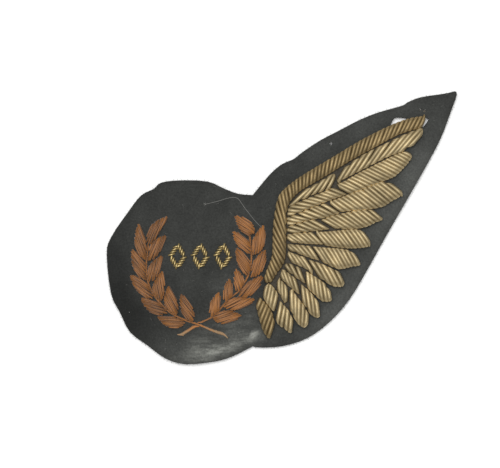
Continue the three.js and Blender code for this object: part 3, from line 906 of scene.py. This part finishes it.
class StageSettings(bpy.types.PropertyGroup):
    """The table, the light and the camera."""
    view_width: length_setting("View", "Width of the table that the camera sees", 130, 10)
    lens: bpy.props.FloatProperty(
        name="Lens", description="Focal length of the camera in millimetres",
        default=100, min=10, unit="CAMERA",
    )
    softbox: bpy.props.FloatProperty(
        name="Softbox", description="Power of the light over the table in watts",
        default=4.0, min=0, subtype="POWER",
    )
    sky: bpy.props.FloatProperty(
        name="Room light", description="Strength of the light from all round",
        default=0.36, min=0,
    )
    table: colour_setting("Table", "Colour of the table", "#f7f7f6")


# ---- Operators ----

class BADGE_OT_lining(bpy.types.Operator):
    """Cut the cotton lining behind the cloth"""
    bl_idname = "badge.lining"
    bl_label = "Lining"

    def execute(self, context):
        sizes = context.scene.badge_cloth
        loops = base_loops("reverse_lining")
        low, high = (corner.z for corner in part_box("reverse_lining"))
        made = cut_piece("cotton_lining", loops, low, high, LINING_RIM, sizes.cell)
        raised(made)
        finished(made, lining_material("plain_weave_cotton", sizes.yarn, linear("#4f493e")))
        stand_for(made, "cotton_lining", "reverse_lining")
        return {"FINISHED"}


class BADGE_OT_ground(bpy.types.Operator):
    """Cut the melton ground to its outline, with its tears and needle holes"""
    bl_idname = "badge.ground"
    bl_label = "Melton ground"

    def execute(self, context):
        sizes = context.scene.badge_cloth
        loops = base_loops("melton_cloth")
        low, high = (corner.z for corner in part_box("melton_cloth"))
        made = cut_piece("melton_ground", loops, low, high, sizes.rim, sizes.cell)
        middle = (low + high) / 2

        def hollows(co):
            rough = [
                sum(
                    share * noise.noise(Vector((x, y, 0)) / (width * MM))
                    for width, share in HOLLOWS
                )
                for x, y in co[:, :2]
            ]
            return np.where(co[:, 2] > middle, sizes.unevenness * np.array(rough), 0)

        co = raised(made, hollows)
        outline = resampled(np.vstack((loops[0], loops[0][:1])), MARGIN_POINTS)
        gap = np.linalg.norm(co[:, None, :2] - outline[None], axis=2).min(axis=1)
        margin = np.clip(1 - gap / DARK_MARGIN, 0, 1) * MARGIN_DARKNESS
        float_attribute(made.data, "edge", margin)
        float_attribute(made.data, "lightness_shift", gathered(LIGHTNESS_PATCHES, co[:, 0], co[:, 1]))
        face_up = co[:, 2] - lift(co[:, 0], co[:, 1]) > middle
        # Rubbed nap and painted highlight, on the face only.
        rubbed = np.clip(gathered(WEAR_AND_HIGHLIGHT_PATCHES, co[:, 0], co[:, 1]), 0, MOST_WEAR_AND_HIGHLIGHT)
        float_attribute(made.data, "wear_and_highlight", rubbed * face_up)
        finished(made, melton_material("wool_melton", sizes.nap, sizes.worn, sizes.rim_nap))
        stand_for(made, "melton_cloth", "melton_cloth")
        return {"FINISHED"}


class BADGE_OT_padding(bpy.types.Operator):
    """Cut the felt that lifts the wing off the cloth"""
    bl_idname = "badge.padding"
    bl_label = "Felt padding"

    def execute(self, context):
        sizes = context.scene.badge_cloth
        loops = base_loops("wing_padding")
        low, high = (corner.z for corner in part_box("wing_padding"))
        made = cut_piece("felt_padding", loops, low, high, FELT_RIM, sizes.cell)
        raised(made)
        finished(made, felt_material("wool_felt", sizes.felt))
        stand_for(made, "felt_padding", "wing_padding")
        return {"FINISHED"}


# ---- How the gilt is laid ----

# How dull the gilt is: its roughness on the wing, and on the newer chips.
PURL_ROUGHNESS = 0.55
CHIP_ROUGHNESS = 0.42
# How much a purl differs from its neighbours: turn (degrees), thickness (share), height and bow.
PURL_TURN = 1.6
PURL_GIRTH = (0.96, 1.04)
PURL_HEIGHT = 0.03
PURL_BOW = 0.07
# A purl is left out where it would be shorter than this, in radii.
SHORTEST_PURL = 0.8
# Purls shorter than these arch less, and are sewn down less deeply.
FULL_CROWN = 3 * MM
FULL_DIP = 2 * MM
# How far to the side of a purl's middle the outline's slant is taken, in radii.
BESIDE = 0.6
# How the stitches of a rope differ: turn (degrees), length and thickness (shares).
STITCH_TURN = 3
STITCH_LENGTH = (0.93, 1.05)
STITCH_GIRTH = (0.94, 1.06)
# How deep a stitch of a rope is sewn down at its ends, in radii.
STITCH_DIP = 0.8
# How many slanted chips make one side of a lozenge, and each chip.
CHIPS_A_SIDE = 4
CHIP = {
    "radius": 0.29 * MM, "length": 1.6 * MM, "slant": math.radians(-42), "crown": 0.15 * MM,
}
# The share of a lozenge's side that is left free at each corner.
CORNER_SPARE = 0.04


def point_on(line, at):
    """The point at a distance along a line, and its heading. Before the start and past the end
    the line goes straight on, the way that its end quarter points."""
    steps = np.linalg.norm(np.diff(line, axis=0), axis=1)
    run = np.concatenate(([0], np.cumsum(steps)))
    reached = min(max(at, 0), run[-1])
    point = np.array([np.interp(reached, run, line[:, k]) for k in range(2)])
    quarter = run[-1] / 4
    middle = min(max(at, quarter / 2), run[-1] - quarter / 2)
    ahead, back = (
        np.array([np.interp(middle + way * quarter / 2, run, line[:, k]) for k in range(2)])
        for way in (1, -1)
    )
    heading = (ahead - back) / np.linalg.norm(ahead - back)
    return point + (at - reached) * heading, heading, reached / run[-1]


def sewn_at(loop, line, stations, pitch):
    """Where along a line the purls of one part are sewn, a pitch apart, so that they fill its
    outline from side to side: their points and angles. stations gives the angle of the purl at
    each share of the line."""
    shares, angles = zip(*stations)
    length = np.linalg.norm(np.diff(line, axis=0), axis=1).sum()
    tried = []
    before = point_on(line, -MARGIN - TRY_STEP)[0]
    for at in np.arange(-MARGIN, length + MARGIN, TRY_STEP):
        point, heading, share = point_on(line, at)
        angle = math.radians(np.interp(share, shares, angles))
        across = np.array((-math.sin(angle), math.cos(angle)))
        step, before = abs((point - before) @ across), point
        lengths = [np.linalg.norm(end - start) for start, end in chords(loop, point, angle)]
        if max(lengths, default=0) > TRY_STEP:
            tried.append((at, step, angle))
    places, widths, angles = np.array(tried).T
    across = np.cumsum(widths) - widths / 2
    count = max(1, round(widths.sum() / pitch))
    wanted = (np.arange(count) + 0.5) / count * widths.sum()
    return [
        (point_on(line, at)[0], np.interp(at, places, angles))
        for at in np.interp(wanted, across, places)
    ]


def end_slants(loop, point, angle, chord, radius):
    """How the outline slants across the two ends of a strand."""
    along = direction(angle)
    across = np.array((-along[1], along[0]))
    middle = (chord[0] + chord[1]) @ along / 2
    ends = []
    for off in (-BESIDE * radius, BESIDE * radius):
        beside = chords(loop, point + off * across, angle)
        if not beside:
            return 0, 0
        near = min(beside, key=lambda c: abs((c[0] + c[1]) @ along / 2 - middle))
        ends.append(np.array([near[0] @ along, near[1] @ along]))
    slants = (ends[1] - ends[0]) / (2 * BESIDE * radius)
    return tuple(np.clip(slants, -MOST_SLANT, MOST_SLANT))


def purls(loop, line, stations, pitch, radius, seat, settings, rng):
    """The purls of one part of the wing, side by side along a line."""
    found = []
    for point, angle in sewn_at(loop, line, stations, pitch):
        angle += math.radians(rng.uniform(-PURL_TURN, PURL_TURN))
        for start, end in chords(loop, point, angle):
            length = np.linalg.norm(end - start)
            if length > SHORTEST_PURL * radius:
                unit = (end - start) / length
                found.append(strand(
                    start - settings.reach * unit, end + settings.reach * unit,
                    radius * rng.uniform(*PURL_GIRTH),
                    seat + radius + rng.uniform(-PURL_HEIGHT, PURL_HEIGHT) * MM, rng,
                    crown=settings.crown * min(1, length / FULL_CROWN),
                    dip=settings.dip * min(1, length / FULL_DIP),
                    reach=SEWN_REACH, bow=rng.uniform(-PURL_BOW, PURL_BOW) * MM,
                    skew=end_slants(loop, point, angle, (start, end), radius),
                ))
    return found


class BADGE_OT_leading_edge(bpy.types.Operator):
    """Lay the band of purls along the leading edge of the wing"""
    bl_idname = "badge.leading_edge"
    bl_label = "Leading edge"

    def execute(self, context):
        gilt = context.scene.badge_gilt
        rng = random.Random(SEED)
        loop = base_loops("leading_edge")[0]
        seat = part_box("leading_edge")[0].z
        template = strand_template("purl", PURL_SIDES)
        line = from_top(spine(loop, SHOULDER))
        found = purls(
            loop, line, LEADING_EDGE_LAY, gilt.pitch, gilt.diameter / 2, seat, gilt, rng)
        # The leading edge is given the darker gilt colours.
        material = gilt_purl_material(
            "gilt_purl_darker", gilt.edge_highlight, gilt.edge_shade_and_tarnish, PURL_ROUGHNESS)
        made = worked_mesh("purl_leading_edge", template, found, material)
        stand_for(made, "gilt_purl", "leading_edge")
        return {"FINISHED"}


class BADGE_OT_feathers(bpy.types.Operator):
    """Lay the purls of the second row and of the eleven feathers"""
    bl_idname = "badge.feathers"
    bl_label = "Feathers"

    def execute(self, context):
        gilt = context.scene.badge_gilt
        rng = random.Random(SEED + 1)
        template = strand_template("purl", PURL_SIDES)
        bright = gilt_purl_material("gilt_purl", gilt.crest, gilt.valley, PURL_ROUGHNESS)
        # The last feather is given the same darker gilt colours as the leading edge.
        darker_gilt = gilt_purl_material(
            "gilt_purl_darker_last_feather", gilt.edge_highlight, gilt.edge_shade_and_tarnish, PURL_ROUGHNESS)
        for name, (root, tip, size) in FEATHER_LAY.items():
            loop = base_loops(name)[0]
            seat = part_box(name)[0].z
            stations = ((0, root), (1, tip))
            line = spine(loop, SHOULDER)[[0, -1]]
            found = purls(
                loop, line, stations, size * gilt.pitch, size * gilt.diameter / 2, seat, gilt,
                rng)
            made = worked_mesh(
                "purl_" + name, template, found, darker_gilt if name == "feather_11" else bright)
            stand_for(made, "gilt_purl", name)
        return {"FINISHED"}


def rope(line, seat, rng, radius, length, pitch, slant, crown, slim=(1, 1)):
    """Short stitches laid slantwise along a line, as in a twisted rope. slim is the share of its
    full size that it has at its start and at its end."""
    total = np.linalg.norm(np.diff(line, axis=0), axis=1).sum()
    found = []
    for at in np.arange(pitch / 2, total, pitch):
        point, heading, share = point_on(line, at)
        # The size changes over the last quarter.
        size = slim[0] + (slim[1] - slim[0]) * max(0, 4 * share - 3)
        turn = math.radians(rng.uniform(-STITCH_TURN, STITCH_TURN))
        angle = math.atan2(heading[1], heading[0]) + slant + turn
        half = size * length / 2 * rng.uniform(*STITCH_LENGTH)
        reach = half * direction(angle)
        found.append(strand(
            point - reach, point + reach, size * radius * rng.uniform(*STITCH_GIRTH),
            seat + size * radius, rng, crown=crown, dip=STITCH_DIP * size * radius,
            reach=SEWN_REACH,
        ))
    return found


# ---- How the silk is laid ----

# The stitches of the stems, and the stems' thickness at either end as a share of the full one.
STEM_STITCH = {
    "radius": 0.19 * MM, "length": 1.25 * MM, "pitch": 0.42 * MM, "slant": math.radians(-27),
    "crown": 0.12 * MM,
}
STEMS = (("stem_right", (0.7, 0.8)), ("stem_right_tail", (1, 1)), ("stem_left", (0.7, 1)))
# How pale the stems' stitches are: the least and the spread, and the most that bleaching adds.
STEM_TONE = (0.4, 0.5)
MOST_BLEACHED = 1.6
# How far a leaf is paler on the right branch and darker on the left one, how much its threads
# differ, and the tone of the threads under them, which is darkened as painted shade.
LEAF_TONE = 0.2
LEAF_SPREAD = 0.7
FILLING_SHADE_TONE = -0.05
# How a leaf's threads differ: turn (degrees), the far end, height and bow (mm), and thickness.
THREAD_TURN = 4
THREAD_END = (-0.05, 0.2)
THREAD_HEIGHT = (-0.04, 0.06)
THREAD_BOW = 0.12
THREAD_GIRTH = (0.88, 1.12)
# How deep a thread is sewn down, how high its foot lies on the stem, and the shortest thread.
THREAD_DIP = 0.1 * MM
THREAD_RISE = 0.32 * MM
SHORTEST_THREAD = 0.6 * MM
# The threads under a leaf's stitches, in radii of a stitch: thickness, spacing, least length.
FILLING_GIRTH = 1.7
FILLING_PITCH = 2.2
SHORTEST_FILLING = 4


class BADGE_OT_stems(bpy.types.Operator):
    """Work the wreath's stems in twisted silk"""
    bl_idname = "badge.stems"
    bl_label = "Stems"

    def execute(self, context):
        silk = context.scene.badge_silk
        rng = random.Random(SEED + 2)
        template = strand_template("silk_thread", SILK_SIDES)
        material = silk_material("silk_floss_stem", silk.light, silk.dark, silk.bleached)
        least, spread = STEM_TONE
        for name, slim in STEMS:
            loop = base_loops(name)[0]
            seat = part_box(name)[0].z
            line = from_top(spine(loop, SHOULDER))
            found = rope(line, seat, rng, slim=slim, **STEM_STITCH)
            for stitch in found:
                bleached = (TAIL_TOP - stitch["end"][1]) / TAIL_FADE
                stitch["tone"] = least + spread * stitch["tone"] + min(
                    max(bleached, 0), MOST_BLEACHED)
            made = worked_mesh("silk_" + name, template, found, material)
            stand_for(made, "copper_silk", name)
        return {"FINISHED"}


class BADGE_OT_leaves(bpy.types.Operator):
    """Work the wreath's leaves in satin stitch"""
    bl_idname = "badge.leaves"
    bl_label = "Leaves"

    def execute(self, context):
        silk = context.scene.badge_silk
        rng = random.Random(SEED + 3)
        template = strand_template("silk_thread", SILK_SIDES)
        material = silk_material("silk_floss_leaf", silk.light, silk.dark, silk.bleached)
        stems = np.vstack([base_loops(n)[0] for n in ("stem_left", "stem_right")])
        for name in sorted(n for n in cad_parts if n.startswith("leaf_")):
            loop = base_loops(name)[0]
            low, high = (corner.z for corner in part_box(name))
            tone = LEAF_TONE if "right" in name else -LEAF_TONE
            found = self.threads(loop, low, high, stems, silk, tone, rng)
            made = worked_mesh("silk_" + name, template, found, material)
            stand_for(made, "copper_silk", name)
        return {"FINISHED"}

    def threads(self, loop, low, high, stems, silk, tone, rng):
        """Threads from the stem to the edge of the leaf, highest along its middle."""
        line = spine(loop, loop[0])
        ends = [np.linalg.norm(stems - line[i], axis=1).min() for i in (0, -1)]
        if ends[0] > ends[1]:
            line = line[::-1]
        angle = math.atan2(*(line[-1] - line[0])[::-1]) + silk.slant
        across = np.array((-math.sin(angle), math.cos(angle)))
        offsets = loop @ across
        width = offsets.max() - offsets.min()
        count = round(width / silk.pitch)
        radius = silk.thread / 2
        middle = loop.mean(axis=0)
        found = self.filling(loop, low, middle, angle, radius, rng)
        for i in range(count):
            share = (i + 0.5) / count
            through = middle + (offsets.min() + share * width - middle @ across) * across
            dome = math.sqrt(1 - (2 * share - 1) ** 2)
            turn = math.radians(rng.uniform(-THREAD_TURN, THREAD_TURN))
            for start, end in chords(loop, through, angle + turn):
                length = np.linalg.norm(end - start)
                if length < SHORTEST_THREAD:
                    continue
                unit = (end - start) / length
                made = strand(
                    start - silk.tuck * unit, end + rng.uniform(*THREAD_END) * MM * unit,
                    radius * rng.uniform(*THREAD_GIRTH),
                    low + radius + rng.uniform(*THREAD_HEIGHT) * MM, rng,
                    crown=(high - low - 2 * radius) * dome, dip=THREAD_DIP, reach=SEWN_REACH,
                    rise=THREAD_RISE, bow=rng.uniform(-THREAD_BOW, THREAD_BOW) * MM,
                )
                made["tone"] = LEAF_SPREAD * made["tone"] + tone
                found.append(made)
        return found

    def filling(self, loop, low, middle, angle, radius, rng):
        """The thick threads under the stitches, which fill the leaf out, darkened as painted
        shade.
        """
        across = np.array((-math.sin(angle), math.cos(angle)))
        offsets = (loop - middle) @ across
        found = []
        pitch = FILLING_PITCH * radius
        for off in np.arange(offsets.min() + radius, offsets.max() - radius, pitch):
            for start, end in chords(loop, middle + off * across, angle):
                if np.linalg.norm(end - start) > SHORTEST_FILLING * radius:
                    thread = strand(
                        start, end, FILLING_GIRTH * radius, low + radius, rng, dip=radius)
                    thread["tone"] = FILLING_SHADE_TONE
                    found.append(thread)
        return found


class BADGE_OT_ornaments(bpy.types.Operator):
    """Work the three lozenges in slanted purl chips"""
    bl_idname = "badge.ornaments"
    bl_label = "Lozenges"

    def execute(self, context):
        gilt = context.scene.badge_gilt
        rng = random.Random(SEED + 4)
        template = strand_template("purl", PURL_SIDES)
        # Painted highlight and shade on the chips, from the chip colours.
        material = gilt_purl_material(
            "gilt_purl_chips", gilt.chip_highlight, gilt.chip_shade_and_tarnish, CHIP_ROUGHNESS)
        for name in ("ornament_left", "ornament_middle", "ornament_right"):
            outer, inner = base_loops(name)
            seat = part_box(name)[0].z
            centre = (outer.max(axis=0) + outer.min(axis=0)) / 2
            corners = [
                (near_corner(outer, centre, turn) + near_corner(inner, centre, turn)) / 2
                for turn in (0, 90, 180, 270)
            ]
            found = []
            for start, end in zip(corners, corners[1:] + corners[:1]):
                spare = CORNER_SPARE * (end - start)
                side = np.array((start + spare, end - spare))
                pitch = np.linalg.norm(side[1] - side[0]) / CHIPS_A_SIDE
                found += rope(side, seat, rng, pitch=pitch, **CHIP)
            made = worked_mesh("purl_" + name, template, found, material)
            stand_for(made, "gilt_purl", name)
        return {"FINISHED"}


def near_corner(loop, centre, turn):
    """The point of an outline that reaches farthest from a centre in one direction."""
    return loop[((loop - centre) @ direction(math.radians(turn))).argmax()]


# ---- Loose fibres ----

# How pale the fibres on the nap and along the cut get, and the tone of the stray thread.
NAP_TONE = 0.35
EDGE_TONE = 0.15
STRAY_TONE = 0.3
# Fibres along the cut turn this much from square to it, in degrees, and keep this far from
# the faces.
EDGE_TURN = 45
FACE_GAP = 0.1 * MM
# How a fibre differs: length and thickness (shares), arch (mm), and bow (share of its length).
FIBRE_LENGTH = (0.4, 1.3)
FIBRE_GIRTH = (0.7, 1.4)
FIBRE_ARCH = 0.1
FIBRE_BOW = 0.12
# How much of a fibre lies before and after its point, and how high it lies on the nap.
FIBRE_SPLIT = (0.3, 0.7)
FIBRE_HEIGHT = 0.02 * MM
THREAD_ON_NAP = 0.06 * MM
# The length of a fibre in a speck of lint, as a share of a loose one's, and its tone.
LINT_LENGTH = 0.35
LINT_TONE = (0.5, 1)


def is_inside(loop, point):
    """Whether a point lies inside an outline."""
    stretches = chords(loop, point, 0)
    return any(start[0] <= point[0] <= end[0] for start, end in stretches)


def fibre_material(name, dark, pale):
    """Loose wool fibres and cotton lint: matt, and either as dark as the cloth or near white."""
    made, tree = new_material(name)
    tone = add_node(tree, "ShaderNodeAttribute", attribute_name="tone")
    colour = add_node(tree, "ShaderNodeMix", {
        0: tone.outputs["Fac"], 6: rgba(dark), 7: rgba(pale),
    }, data_type="RGBA")
    shader = add_node(tree, "ShaderNodeBsdfPrincipled", {
        "Base Color": colour.outputs[2], "Roughness": 0.9, "Specular IOR Level": 0.1,
    })
    add_node(tree, "ShaderNodeOutputMaterial", {"Surface": shader.outputs[0]})
    return made


class BADGE_OT_fibres(bpy.types.Operator):
    """Scatter loose fibres over the nap and along the cut edge, with specks of lint"""
    bl_idname = "badge.fibres"
    bl_label = "Fibres and lint"

    def execute(self, context):
        nap = context.scene.badge_nap
        rng = random.Random(SEED + 5)
        loop = base_loops("melton_cloth")[0]
        low, face = (corner.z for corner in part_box("melton_cloth"))
        template = strand_template("fibre", FIBRE_SIDES)
        spans = list(zip(loop.min(axis=0), loop.max(axis=0)))
        found = []
        while len(found) < nap.fibres:
            point = np.array([rng.uniform(*span) for span in spans])
            if is_inside(loop, point):
                found.append(self.fibre(point, rng.uniform(0, 360), face, nap, rng, NAP_TONE))
        rim = resampled(np.vstack((loop, loop[:1])), nap.rim_fibres + 1)
        for point, after in zip(rim, rim[1:]):
            out = math.degrees(math.atan2(*(after - point)[::-1])) - 90
            height = rng.uniform(low + FACE_GAP, face - FACE_GAP)
            turn = out + rng.gauss(0, EDGE_TURN)
            found.append(self.fibre(point, turn, height, nap, rng, EDGE_TONE))
        for x, y, spread, count in LINT:
            for _ in range(count):
                point = np.array((x + rng.gauss(0, spread), y + rng.gauss(0, spread))) * MM
                lint = self.fibre(point, rng.uniform(0, 360), face, nap, rng, 1)
                lint["tone"] = rng.uniform(*LINT_TONE)
                for end in ("start", "end"):
                    lint[end] = point + LINT_LENGTH * (lint[end] - point)
                found.append(lint)
        made = worked_mesh(
            "loose_fibres", template, found,
            fibre_material("wool_and_cotton_fibre", nap.dark, nap.pale))
        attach(made, "root")
        return {"FINISHED"}

    def fibre(self, point, turn, height, nap, rng, tone):
        """One loose fibre, lying on the nap."""
        length = nap.length * rng.uniform(*FIBRE_LENGTH)
        before, after = FIBRE_SPLIT
        way = direction(math.radians(turn))
        made = strand(
            point - before * length * way, point + after * length * way,
            nap.thickness / 2 * rng.uniform(*FIBRE_GIRTH), height + FIBRE_HEIGHT, rng,
            crown=rng.uniform(0, FIBRE_ARCH) * MM, bow=rng.gauss(0, FIBRE_BOW) * length,
        )
        made["tone"] = tone * made["tone"] ** 2
        return made


class BADGE_OT_stray_thread(bpy.types.Operator):
    """Lay the stray white thread that has caught in the nap above the wreath"""
    bl_idname = "badge.stray_thread"
    bl_label = "Stray thread"

    def execute(self, context):
        nap = context.scene.badge_nap
        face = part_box("melton_cloth")[1].z
        data = bpy.data.curves.new("stray_thread", "CURVE")
        data.dimensions = "3D"
        data.bevel_depth = nap.thickness
        data.bevel_resolution = 1
        data.use_fill_caps = True
        spline = data.splines.new("NURBS")
        spline.points.add(len(STRAY_THREAD) - 1)
        spline.use_endpoint_u = True
        spline.order_u = 4
        spline.resolution_u = 4
        for point, place in zip(spline.points, STRAY_THREAD):
            x, y = np.array(place) * MM
            point.co = (x, y, face + lift(x, y) + THREAD_ON_NAP, 1)
        select_only(placed("stray_thread", data))
        bpy.ops.object.convert(target="MESH")
        made = context.object
        float_attribute(made.data, "tone", [STRAY_TONE] * len(made.data.vertices))
        finished(made, fibre_material("cotton_thread", nap.dark, nap.pale))
        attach(made, "root")
        return {"FINISHED"}


# The table's width and how far below the badge it lies, where the camera looks, and the
# softbox's place and size, all in metres.
TABLE_WIDTH = 4
TABLE_GAP = 0.01 * MM
LOOKED_AT = Vector((-8.26, -1.63, 0)) * MM
SOFTBOX_PLACE = (-0.06, 0.1, 0.62)
SOFTBOX_SIZE = (0.42, 0.36)


class BADGE_OT_stage(bpy.types.Operator):
    """Set the pale table, the soft light and the camera"""
    bl_idname = "badge.stage"
    bl_label = "Stage"

    def execute(self, context):
        scene = context.scene
        stage = scene.badge_stage
        low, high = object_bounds()
        bpy.ops.object.select_all(action="DESELECT")
        bpy.ops.mesh.primitive_plane_add(size=TABLE_WIDTH, location=(0, 0, low[2] - TABLE_GAP))
        table = context.object
        table.name = "table"
        table.data.materials.append(floor_material("matt_white_board", stage.table))
        table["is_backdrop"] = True
        bpy.ops.object.light_add(type="AREA", location=SOFTBOX_PLACE)
        softbox = context.object
        softbox.name = "softbox"
        softbox.data.shape = "RECTANGLE"
        softbox.data.size, softbox.data.size_y = SOFTBOX_SIZE
        softbox.data.energy = stage.softbox
        aim = LOOKED_AT - softbox.location
        softbox.rotation_euler = aim.to_track_quat("-Z", "Y").to_euler()
        world = bpy.data.worlds.new("room")
        world.use_nodes = True
        sky = world.node_tree.nodes["Background"]
        sky.inputs["Color"].default_value = (1, 1, 1, 1)
        sky.inputs["Strength"].default_value = stage.sky
        scene.world = world
        data = bpy.data.cameras.new("camera")
        data.lens = stage.lens
        camera = placed("camera", data)
        distance = stage.view_width * data.lens / data.sensor_width
        camera.location = (LOOKED_AT.x, LOOKED_AT.y, high[2] / 2 + distance)
        scene.camera = camera
        scene.view_settings.view_transform = "Standard"
        return {"FINISHED"}


class BADGE_PT_panel(bpy.types.Panel):
    """The badge's pieces, in the order in which they are worked"""
    bl_idname = "BADGE_PT_panel"
    bl_label = "Half-wing badge"
    bl_space_type = "VIEW_3D"
    bl_region_type = "UI"
    bl_category = "Badge"

    def draw(self, context):
        for operator in OPERATORS:
            self.layout.operator(operator.bl_idname)
        for group in GROUPS:
            box = self.layout.box()
            settings = getattr(context.scene, group)
            for name in settings.__annotations__:
                box.prop(settings, name)


OPERATORS = (
    BADGE_OT_lining, BADGE_OT_ground, BADGE_OT_padding, BADGE_OT_leading_edge,
    BADGE_OT_feathers, BADGE_OT_stems, BADGE_OT_leaves, BADGE_OT_ornaments,
    BADGE_OT_fibres, BADGE_OT_stray_thread, BADGE_OT_stage,
)
GROUPS = {
    "badge_cloth": ClothSettings, "badge_gilt": GiltSettings, "badge_silk": SilkSettings,
    "badge_nap": NapSettings, "badge_stage": StageSettings,
}


def register():
    """Registers the settings, the operators and the panel."""
    for made in (*GROUPS.values(), *OPERATORS, BADGE_PT_panel):
        bpy.utils.register_class(made)
    for name, group in GROUPS.items():
        setattr(bpy.types.Scene, name, bpy.props.PointerProperty(type=group))


def unregister():
    """Takes them all away again."""
    for name in GROUPS:
        delattr(bpy.types.Scene, name)
    for made in reversed((*GROUPS.values(), *OPERATORS, BADGE_PT_panel)):
        bpy.utils.unregister_class(made)


def main():
    """Works the badge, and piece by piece."""
    register()
    for operator in OPERATORS:
        group, name = operator.bl_idname.split(".")
        getattr(getattr(bpy.ops, group), name)()


if __name__ == "__main__":
    main()
